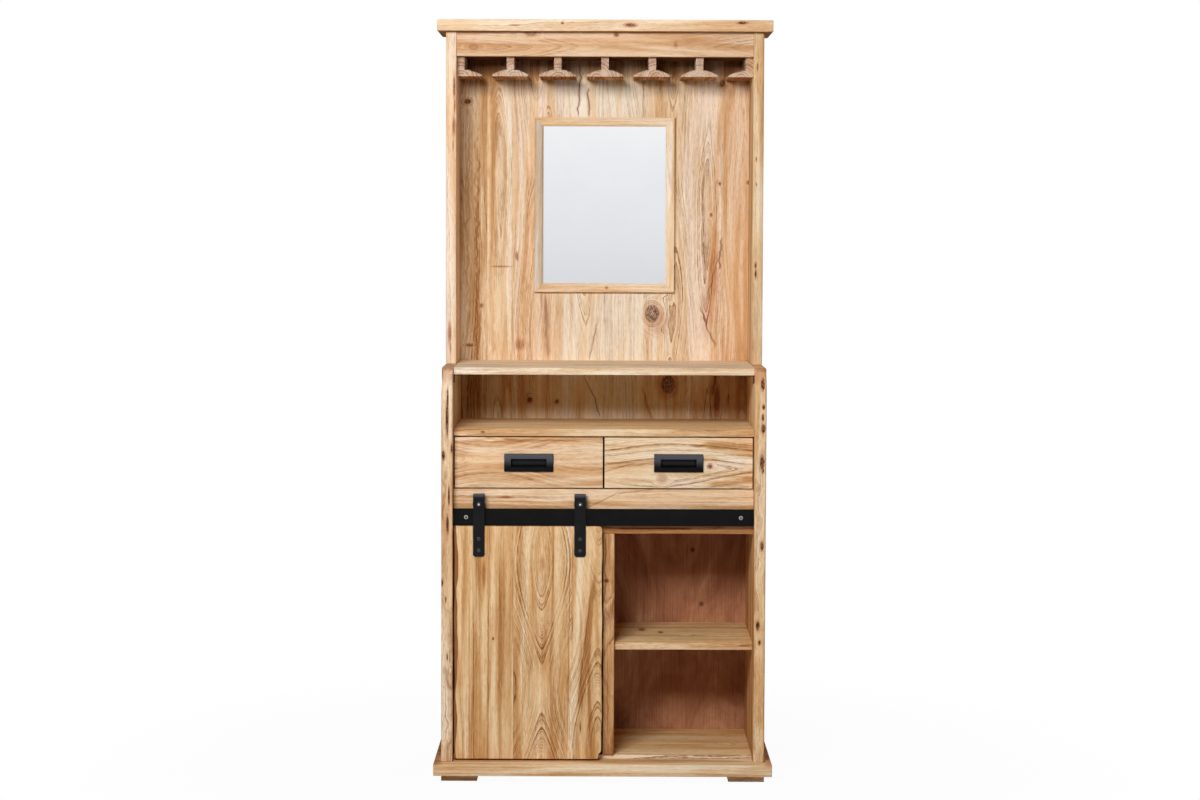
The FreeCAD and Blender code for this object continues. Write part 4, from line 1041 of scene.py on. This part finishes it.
# drawers
drawerWoods = {
    "left": dict(seed=51.0, tone=0.05, pink=0.45, figure=1.1, pith=(0.757, 0.008), fold=(-0.035, 0.16, 0.24),
                 wander=0.008, pitch=0.009, cracks=[(0.801, -0.22, -0.01, 0.13, 0.0012, 0.001, 0.3)],
                 bands=[(0.805, -0.2, -0.02, 0.16, 0.004, 0.001, 0.35),
                        (0.8075, -0.31, -0.03, 0.09, 0.007, 0.002, -0.55)]),
    "right": dict(seed=52.0, tone=-0.08, pink=0.15, figure=1.1, pith=(0.738, 0.008), fold=(0.14, 0.1, 0.26),
                  wander=0.012, pitch=0.011,
                  spots=[((0.2501, -0.138, 0.7445), (0.0055, 0.01, 0.005), 1, 1.0, 0.9),
                         ((0.1378, -0.138, 0.7153), (0.009, 0.01, 0.008), 1, 0.6, 0.18),
                         ((0.2228, -0.138, 0.792), (0.012, 0.01, 0.0022), 0, 0.9, 0.3)],
                  cracks=[(0.7405, 0.035, 0.28, 0.045, 0.0012, 0.0008, 0.4),
                          (0.757, 0.19, 0.02, 0.11, 0.0012, 0.0006, 0.3)],
                  bands=[(0.782, 0.33, -0.14, 0.11, 0.02, 0.003, 0.5),
                         (0.76, 0.33, -0.1, 0.07, 0.006, 0.002, -0.4),
                         (0.708, 0.32, 0.12, 0.08, 0.014, 0.003, 0.35)]),
}
drawerSettings = {"corner": 0.0008, "mouthCorner": 0.001, "rim": 0.0048, "seat": 0.0001}


def drawerFront(side, s):
    # a softened board whose front runs inward to the mouth of the pull's mortise and down to its floor
    low, high = extent(f"drawer_{side}_front")
    pullLow, pullHigh = extent(f"drawer_{side}_pull")
    outer = roundedOutline(rectangle(low[::2], high[::2]), s["corner"])
    mouth = roundedOutline(rectangle(pullLow[::2] + s["rim"], pullHigh[::2] - s["rim"]), s["mouthCorner"])
    points = plateOf(outer, low[1], high[1], "Y", s["corner"])[0].reshape(-1, len(outer), 3)
    floor, edge = (np.insert(mouth, 1, y, axis=1) for y in (pullHigh[1] + s["seat"], low[1]))
    wood = acacia(f"wood_drawerFront_{side}", order="XZY", face=low[1], **drawerWoods[side])
    surface(f"drawerFront_{side}", swept(np.concatenate([[floor, edge], points])), wood, f"drawer_{side}",
            f"drawer_{side}_front", 40)


pullSettings = {
    "proud": 0.006,        # how far the pull stands before the drawer's face
    "flange": 0.005,       # width of the flange round the tub that sits in the mortise
    "recessHalf": 0.042, "recessLow": 0.0105, "recessHigh": 0.0305,
    "slope": 0.0052,       # rise of the recess's lower side
    "undercut": 0.0055,    # rise of the recess behind its upper lip
    "floor": 0.002,        # metal behind the recess
    "lip": 0.0006,         # radius of the recess's rim
    "seat": 0.0002,
    "crown": (0.0052, 0.008),    # depth and height of the round upper edge
    "edge": 0.0022,        # radius of the other edges
    "wall": 0.0022,        # length over which the recess opens at its ends
}


def pull(side, s):
    # a section in depth and height is carried across the pull. Between the recess's ends it opens from
    # the closed front into the finger recess: section = closed + (opened - closed) * smooth step.
    low, high = extent(f"drawer_{side}_pull")
    front, rear = low[1], high[1] - s["seat"]
    bottom, top = low[2], high[2]
    face, floor = front + s["proud"], rear - s["floor"]
    lowLip, highLip = bottom + s["recessLow"], bottom + s["recessHigh"]
    under, lip = highLip + s["undercut"], s["lip"]
    r, flange, (crownDeep, crownTall) = s["edge"], s["flange"], s["crown"]
    turn = np.linspace(0, math.pi / 2, 6)
    lower = np.stack([front + r - r * np.sin(turn), bottom + r - r * np.cos(turn)], 1)
    upper = np.stack([front + crownDeep * (1 - np.cos(turn)), top - crownTall * (1 - np.sin(turn))], 1)
    cavity = [(front, lowLip - 0.0008), (front + lip, lowLip), (front + 0.006, lowLip + 0.002),
              (floor - 0.004, lowLip + 0.0038), (floor - 0.0008, lowLip + s["slope"]),
              (floor, lowLip + 0.008), (floor, highLip - 0.002), (floor, under - 0.0015),
              (floor - 0.001, under), (front + 0.0062, under), (front + 0.0045, highLip + lip),
              (front + lip, highLip)]
    plainHeights = np.append(lowLip + np.array([-0.8, 0, 2, 4, 5.5, 8]) / 1000,
                             highLip + np.array([-6, -2, -1, -0.5, -0.2, 0]) / 1000)
    plain = np.stack([np.full(len(cavity), front), plainHeights], 1)
    tail = [(face, top), (face, top - flange), (rear, top - flange), (rear, bottom + flange),
            (face, bottom + flange), (face, bottom)]
    closed, opened = (np.concatenate([lower, middle, upper, tail]) for middle in (plain, cavity))

    # stations across: the recess's wall at each end, then the flange's rounded end
    half, mouth, wall = (high[0] - low[0]) / 2, s["recessHalf"], s["wall"]
    ease = np.linspace(0, math.pi / 2, 5)
    inner = np.array([0, mouth - wall - 0.0005, mouth - wall, mouth - 0.6 * wall, mouth - 0.3 * wall, mouth,
                      mouth + 0.0006, half - flange])
    place = np.append(inner, half - r + r * np.sin(ease))
    place = np.append(-place[:0:-1], place)
    openness = np.clip((mouth - np.abs(place)) / wall, 0, 1)
    openness = (openness ** 2 * (3 - 2 * openness))[:, None, None]
    section = closed * (1 - openness) + opened * openness
    shrink = np.append(np.zeros(len(inner)), r * (1 - np.cos(ease)))
    shrink = np.append(shrink[:0:-1], shrink)
    inset = 0.9 * shrink[:, None] * (section[..., 0] < face)
    section[..., 0] += inset
    section[..., 1] -= np.sign(section[..., 1] - (bottom + top) / 2) * inset
    x = np.repeat(place[:, None], len(closed), 1)
    x[:, -5:-1] = np.clip(x[:, -5:-1], flange - half, half - flange)   # the tub is narrower than the flange
    points = np.stack([(low[0] + high[0]) / 2 + x, section[..., 0], section[..., 1]], -1)
    surface(f"pull_{side}", swept(points), blackCast, f"drawer_{side}", f"drawer_{side}_pull",
            40)


for side in drawerWoods:
    drawerFront(side, drawerSettings)
for side in drawerWoods:
    pull(side, pullSettings)
print("drawer fronts and pulls made")


# sliding door
doorSettings = {
    "leftInset": 0.0009, "rightInset": 0.001,     # room for the waves inside the box
    "nibble": ((0.009, 0.0), (0.007, 0.012), (0.0, 0.018)),    # the step in the lower right corner
    "radii": (0.002, 0.002, 0.003, 0.004, 0.009, 0.002),    # of the corners, from the lower left round
    "step": 0.004,
    "edge": 0.0009,
    "fade": 0.03,          # stretch at the ends over which the waves fade out
    # the two long edges
    "left": {"reach": 0.01, "waves": ((0.0006, 27, 1), (0.0004, 61, 0)),
             "edge": 0.0014, "edgeWaves": ((0.001, 21, 2),)},
    "right": {"reach": 0.012, "waves": ((0.0007, 33, 2), (0.0004, 83, 1)),
              "edge": 0.0008, "edgeWaves": ((0.0007, 37, 0),)},
    "bark": (0.002, 0.009),    # least and most width down the left edge
    "wood": dict(
        seed=61.0, honey=0.35, pith=(-0.149, 0.01), fold=(0.52, 0.21, 0.297), wander=0.005, pitch=0.0095,
        planks=(-0.352, -0.002, [
            (-0.352, 0.12, 0.68, 0.05, -0.45, 1.1, 0.0), (-0.2122, 0.47, 0.64, 0.1, -0.145, 1.5, 0.0),
            (-0.0755, 0.77, 0.76, 0.05, -0.012, 1.2, 0.15)]),
        spots=[((-0.2591, -0.161, 0.3369), (0.0022, 0.01, 0.003), 1, 1.0, 0.9),
               ((-0.0527, -0.161, 0.1266), (0.0013, 0.01, 0.01), 0, 1.0, 0.6),
               ((-0.2813, -0.161, 0.4883), (0.003, 0.01, 0.022), 0, 0.9, 0.15),
               ((-0.1434, -0.161, 0.5159), (0.004, 0.01, 0.012), 1, 0.5, 0.1)],
        cracks=[
            (-0.0805, 0.33, 0.012, 0.26, 0.0007, 0.001, 0.5), (-0.046, 0.3, 0.11, 0.14, 0.0011, 0.001, 0.5),
            (-0.19, 0.2, 0.0, 0.13, 0.0007, 0.003, 0.3)],
        bands=[
            (-0.0645, 0.28, 0.05, 0.46, 0.014, 0.001, -0.46), (-0.038, 0.32, 0.1, 0.17, 0.012, 0.002, 0.4),
            (-0.2136, 0.18, 0.0, 0.16, 0.0018, 0.0005, -0.6), (-0.014, 0.5, 0.0, 0.25, 0.01, 0.004, 0.2),
            (-0.3, 0.3, 0.0, 0.4, 0.02, 0.002, 0.12), (-0.315, 0.35, 0.0, 0.3, 0.004, 0.001, 0.25),
            (-0.27, 0.3, 0.01, 0.36, 0.004, 0.001, 0.25), (-0.244, 0.25, 0.0, 0.3, 0.005, 0.001, 0.2)]),
}


def door(s):
    # the outline, with waves down its left and right edges and a small step at the lower right,
    # is carried through the thickness
    low, high = extent("door_panel")
    left, right, bottom, top = low[0] + s["leftInset"], high[0] - s["rightInset"], low[2], high[2]
    corners = [(left, bottom), *((right - x, bottom + z) for x, z in s["nibble"]), (right, top), (left, top)]
    line = roundedOutline(corners, s["radii"], 6, s["step"])
    x, z = line.T.copy()
    fade = np.clip((z - bottom) / s["fade"], 0, 1) * np.clip((top - z) / s["fade"], 0, 1)
    edge = s["edge"]
    for side, away in ((s["left"], x - left), (s["right"], right - x)):
        near = np.clip(1 - away / side["reach"], 0, 1)
        line[:, 0] += fade * near * waves(z, side["waves"])
        edge = edge + near * (side["edge"] + waves(z, side["edgeWaves"]))
    wood = acacia("wood_doorPanel", face=low[1], bark=(0, left, *s["bark"]), **s["wood"])
    surface("doorPanel", plateOf(line, low[1], high[1], "Y", edge, 4), wood, "door", "door_panel",
            50)


door(doorSettings)
print("door made")


# steel rail, hangers and rollers
railSettings = {"corner": 0.0008, "edge": 0.0006}


def rail(s):
    # a flat bar with softened edges
    low, high = extent("door_track")
    line = roundedOutline(rectangle(low[::2], high[::2]), s["corner"])
    surface("doorTrack", plateOf(line, low[1], high[1], "Y", s["edge"]), blackPowder, "cabinet",
            "door_track")


hangerSettings = {
    "places": {"left": -0.293, "right": -0.055},
    "wide": 0.027, "thick": 0.004,
    "bend": 0.008,         # outer radius of the two bends over the rail
    "cut": 0.004,          # the cut corners at the strap's lower end
    "rearDrop": 0.0364,    # how far the rear leg hangs down
    "rearEase": 0.001,     # how much narrower the rear leg's end is
    "edge": 0.0006,
}


def strap(name, s):
    # the centre line goes up the front, over two bends and down the rear, and the section lies on its normal
    low, high = extent(f"hanger_strap_{name}")
    half, thick, cut = s["wide"] / 2, s["thick"], s["cut"]
    frontY, rearY = low[1] + thick / 2, high[1] - thick / 2
    topZ, r = high[2] - thick / 2, s["bend"] - thick / 2
    taper = np.linspace(0, 1, 4)
    turn = np.linspace(0, math.pi / 2, 8)
    starts = low[2] + np.append(cut * taper, cut + 0.001)
    end = high[2] - s["rearDrop"]
    path = np.concatenate([
        np.stack([np.full(5, frontY), starts], 1),
        np.stack([frontY + r - r * np.cos(turn), topZ - r + r * np.sin(turn)], 1),
        np.stack([rearY - r + r * np.sin(turn), topZ - r + r * np.cos(turn)], 1),
        [(rearY, end + 0.0012), (rearY, end)]])
    tangent = np.gradient(path, axis=0)
    tangent /= np.linalg.norm(tangent, axis=1)[:, None]
    normal = np.stack([-tangent[:, 1], tangent[:, 0]], 1)
    narrower = np.zeros(len(path))
    narrower[:4] = cut * (1 - taper ** 0.8)
    narrower[-1] = s["rearEase"]
    across, deep = roundedOutline(rectangle((-half, -thick / 2), (half, thick / 2)), s["edge"], 3).T
    x = (low[0] + high[0]) / 2 + across - np.sign(across) * narrower[:, None]
    y = path[:, :1] + normal[:, :1] * deep
    z = path[:, 1:] + normal[:, 1:] * deep
    surface(f"hangerStrap_{name}", swept(np.stack([x, y, z], -1)), strapPowder, "door",
            f"hanger_strap_{name}", 40)


rollerSettings = {"tread": 0.011, "bore": 0.0045, "hub": 0.0068, "web": 0.0108, "dish": 0.0012,
                  "groove": 0.004, "edge": 0.0006}


def roller(name, s):
    # a grooved wheel: the tread between two flanges, with a hub and a dished web on each face.
    # Half of its rings go from the bore to the middle of the tread, and the same follow mirrored.
    low, high = extent(f"roller_{name}")
    half, big = (high[1] - low[1]) / 2, (high[2] - low[2]) / 2
    web, edge, groove = s["web"], s["edge"], s["groove"]
    rings = [(s["bore"], 0.001 - half), (s["bore"], -half), (s["hub"], -half),
             (s["hub"] + 0.0004, s["dish"] - half), (web, s["dish"] - half), (web + 0.0006, -half),
             (big - edge, -half), (big, edge - half), (big, -groove), (big - 0.0004, 0.0006 - groove),
             (s["tread"] + 0.0004, 0.001 - groove), (s["tread"], 0.0014 - groove)]
    rings += [(radius, -depth) for radius, depth in reversed(rings)]
    parts = turned([(*ring, 0) for ring in rings], 48, (low + high) / 2)
    surface(f"roller_{name}", parts, rollerSteel, f"roller_{name}", f"roller_{name}")


fastenerSettings = {
    "hangerScrew": {"radius": 0.005, "height": 0.0025, "socket": 0.0015, "depth": 0.0016,
                    "shank": 0.0025, "length": 0.017},
    "hangerRises": (0.015, 0.042),    # strap's lower end to its screws
    "trackScrew": {"radius": 0.006, "height": 0.003, "socket": 0.002, "depth": 0.002,
                   "shank": 0.003, "length": 0.032},
    "trackInset": 0.031,   # rail's ends to its screws
    "axleDrop": 0.024,     # strap's top to the axle
    "nutFlat": 0.0062,
    # (radius, depth, hexagon share): the axle bolt's dished head, its shank, and a hexagon nut behind
    "axle": [
        (0.0002, -0.003, 0), (0.0022, -0.0029, 0), (0.0024, -0.0023, 0), (0.0034, -0.0023, 0),
        (0.0037, -0.003, 0), (0.0058, -0.0028, 0), (0.0068, -0.0018, 0), (0.007, 0, 0), (0.004, 0, 0),
        (0.004, 0.0231, 0), (0, 0.0231, 1), (0, 0.0255, 1), (0.0052, 0.0261, 0), (0.004, 0.0261, 0),
        (0.0036, 0.0262, 0)],
    # painted glints: a bright ring on the rail's screws, a bright spot on the axles
    "glintRing": (0.0026, 0.0044), "glintRingColour": tint(170, 170, 172),    # on the rail's screws
    "glintSpot": (0.0, 0.0022), "glintSpotColour": tint(214, 214, 216),       # on the axles
}


def screws(places, radius, height, socket, depth, shank, length):
    # low button heads facing -Y with a hexagon socket, from the socket's floor round to the shank's end
    floor = depth - height
    rings = [(0.0002, floor, 0), (socket * 0.9, floor, 0), (0, floor, 1), (0, 0.0002 - height, 1),
             (socket * 1.2, -height, 0), (radius * 0.72, -height * 0.93, 0), (radius * 0.9, -height * 0.7, 0),
             (radius * 0.985, -height * 0.35, 0), (radius, 0, 0), (shank, 0, 0), (shank, length, 0),
             (shank * 0.6, length + 0.001, 0)]
    return together([turned(rings, 36, place, socket) for place in places])


def fasteners(s, hangerPlaces):
    strapLow, strapHigh = extent("hanger_strap_left")
    trackLow, trackHigh = extent("door_track")
    places = [(x, strapLow[1], strapLow[2] + rise) for x in hangerPlaces for rise in s["hangerRises"]]
    surface("hangerScrews", screws(places, **s["hangerScrew"]), darkScrew, "door", "hanger_screws",
            30)

    z = (trackLow[2] + trackHigh[2]) / 2
    places = [(x, trackLow[1], z) for x in (trackLow[0] + s["trackInset"], trackHigh[0] - s["trackInset"])]
    ringed = glintPaintedFinish("trackScrewHead", places, *s["glintRing"], s["glintRingColour"])
    surface("trackScrews", screws(places, **s["trackScrew"]), ringed, "cabinet", "track_screws",
            30)

    places = [(x, strapLow[1], strapHigh[2] - s["axleDrop"]) for x in hangerPlaces]
    spotted = glintPaintedFinish("axleHead", places, *s["glintSpot"], s["glintSpotColour"])
    parts = [turned(s["axle"], 48, place, s["nutFlat"]) for place in places]
    surface("rollerAxles", together(parts), spotted, "door", "roller_axles", 30)


spacerSettings = {"edge": 0.0006, "bore": 0.0033}


def spacers(s):
    # the two tubes that hold the rail off the cross rail
    low, high = extent("track_spacers")
    half, depth, edge = (high[2] - low[2]) / 2, high[1] - low[1], s["edge"]
    rings = [(s["bore"], edge / 2, 0), (half - edge, 0, 0), (half, edge, 0), (half, depth - edge, 0),
             (half - edge, depth, 0), (s["bore"], depth - edge / 2, 0)]
    places = [(x, low[1], (low[2] + high[2]) / 2) for x in (low[0] + half, high[0] - half)]
    parts = [turned(rings, 36, place) for place in places]
    surface("trackSpacers", together(parts), blackPowder, "cabinet", "track_spacers")


rail(railSettings)
for name in hangerSettings["places"]:
    strap(name, hangerSettings)
    roller(name, rollerSettings)
fasteners(fastenerSettings, hangerSettings["places"].values())
spacers(spacerSettings)
print("steel rail and hangers made")


# CAD nodes that stay
partitionFront = extent("drawer_partition")[0][1]
boxWood = acacia("wood_drawerBox", order="YXZ", seed=71.0, tone=0.05, pink=0.1, figure=0.9)
deckWood = acacia("wood_deck", order="XYZ", seed=72.0, tone=0.05, pink=0.2)
veneer = veneerFinish()
finishes = {
    "mirror_glass": mirrorFinish(),
    "mirror_backing": plainFinish("hardboardBack", tint(128, 96, 68), 0.75, grain=420.0, mottle=0.35),
    "plywood_back": veneer,
    "drawer_deck": deckWood,
    # painted shade down its front edge, which shows between the drawers as a dark gap
    "drawer_partition": acacia("wood_partition", order="ZYX", seed=74.0, tone=0.1, pink=0.2,
                               cracks=[(partitionFront, 0.757, 0.0, 0.2, 0.012, 0.0, 1.0)]),
    # dark all over, for the shade above the rack
    "rack_ceiling": acacia("wood_ceiling", order="XYZ", seed=73.0, tone=0.6, pink=0.0,
                           cracks=[(0.1, 0.0, 0.0, 2.0, 2.0, 0.0, 0.6)]),
    "counter_brackets": blackPowder,
    "cabinet_slides": zincSteel,
}
drawerFinishes = {"outer_side": boxWood, "inner_side": boxWood, "back": deckWood, "bottom": veneer,
                  "slides": zincSteel}
for side in ("left", "right"):
    for part, material in drawerFinishes.items():
        finishes[f"drawer_{side}_{part}"] = material
for node, material in finishes.items():
    cadNodes[node].data.materials.clear()
    cadNodes[node].data.materials.append(material)
print("CAD nodes finished")


# floor, light and background
studioSettings = {
    "radii": (0.4, 22.0), "rings": 24, "sides": 96, "floorDrop": 0.0006,
    "ambient": 0.03,
    "floorWhite": 0.96,    # how white the floor is to the camera near the cabinet
    "whiter": (0.5, 1.6),  # from this distance to this one it grows fully white
    "lamps": {
        # place, what it points at, size, power
        "keyBox": ((-0.85, -3.1, 2.27), (0, 0, 1.0), (1.3, 0.75), 95.0),
        "topBox": ((0.01, -0.7, 3.4), (0, -0.2, 0.9), (2.0, 0.6), 8.0),
        "rearBox": ((1.8, 3.4, 2.4), (0, 0.2, 0.9), (1.6, 1.6), 55.0),
        "fillBox": ((1.3, -4.8, 2.6), (0, 0, 0.9), (2.4, 1.0), 9.5),
    },
}


def addFloor(s):
    # a wide disc whose rings spread out, white to the camera where no shadow falls
    angle = np.linspace(0, 2 * math.pi, s["sides"], endpoint=False)
    ring = np.stack([np.cos(angle), np.sin(angle), np.zeros(s["sides"])], -1)
    rings = np.geomspace(*s["radii"], s["rings"])[:, None, None] * ring - [0, 0, s["floorDrop"]]
    points, quads, caps = swept(rings)
    mesh = bpy.data.meshes.new("studioFloor")
    mesh.from_pydata(points.tolist(), [], quads[:, ::-1].tolist() + [caps[0][::-1].tolist()])
    floor = bpy.data.objects.new("studioFloor", mesh)
    bpy.context.scene.collection.objects.link(floor)
    material, shader, place = newMaterial("paleFloor")[:3]
    tree = material.node_tree
    colour = blend(noise(place, (3, 3, 3), 3.0), tint(214, 214, 214), tint(222, 222, 222))
    feed(shader, {"Base Color": colour, "Roughness": 0.9, "Specular IOR Level": 0.1})
    white = put(tree, "ShaderNodeEmission", {"Color": (1, 1, 1, 1), "Strength": 1.0})
    path = tree.nodes.new("ShaderNodeLightPath").outputs
    seen = calc("MAXIMUM", Wire(path["Is Camera Ray"]), Wire(path["Is Glossy Ray"]))
    far = remap(calcVector("LENGTH", place), *s["whiter"], s["floorWhite"], 1.0)
    mix = wired("ShaderNodeMixShader", {0: seen * far, 1: Wire(shader.outputs[0]), 2: Wire(white.outputs[0])})
    feed(tree.nodes["Material Output"], {"Surface": mix})
    mesh.materials.append(material)


def addWorld(s):
    # white to the camera, a wall that darkens towards the floor to the mirror, and a faint light on the rest
    world = bpy.data.worlds.new("studio")
    bpy.context.scene.world = world
    world.use_nodes = True
    tree = world.node_tree
    faint = tree.nodes["Background"]
    feed(faint, {"Color": (0.95, 0.97, 1.0, 1), "Strength": s["ambient"]})
    height = apart(Wire(tree.nodes.new("ShaderNodeTexCoord").outputs["Generated"]))[2]
    wall = ramp(remap(height, -0.035, 0.05, smooth=False),
                [(0.0, tint(222, 223, 226)), (0.45, tint(239, 240, 243)), (1.0, tint(254, 254, 254))])
    wall = wired("ShaderNodeBackground", {"Color": wall, "Strength": 1.0})
    white = Wire(put(tree, "ShaderNodeBackground", {"Color": (1, 1, 1, 1), "Strength": 1.0}).outputs[0])
    path = {socket.name: Wire(socket) for socket in tree.nodes.new("ShaderNodeLightPath").outputs}
    rest = wired("ShaderNodeMixShader", {0: path["Is Glossy Ray"], 1: Wire(faint.outputs[0]), 2: wall})
    seen = calc("MAXIMUM", path["Is Camera Ray"], path["Is Transmission Ray"])
    feed(tree.nodes["World Output"], {"Surface": wired("ShaderNodeMixShader", {0: seen, 1: rest, 2: white})})


def softbox(name, place, aim, size, power):
    data = bpy.data.lights.new(name, "AREA")
    data.shape = "RECTANGLE"
    data.size, data.size_y = size
    data.energy = power
    lamp = bpy.data.objects.new(name, data)
    lamp.visible_glossy = False
    back = np.array(place, float) - aim
    back /= np.linalg.norm(back)
    right = np.cross([0, 0, 1.0], back)
    right /= np.linalg.norm(right)
    standAt(lamp, right, np.cross(back, right), back, place)


addFloor(studioSettings)
addWorld(studioSettings)
for name, lamp in studioSettings["lamps"].items():
    softbox(name, *lamp)
bpy.context.scene.view_settings.view_transform = "Standard"
print("studio lit")
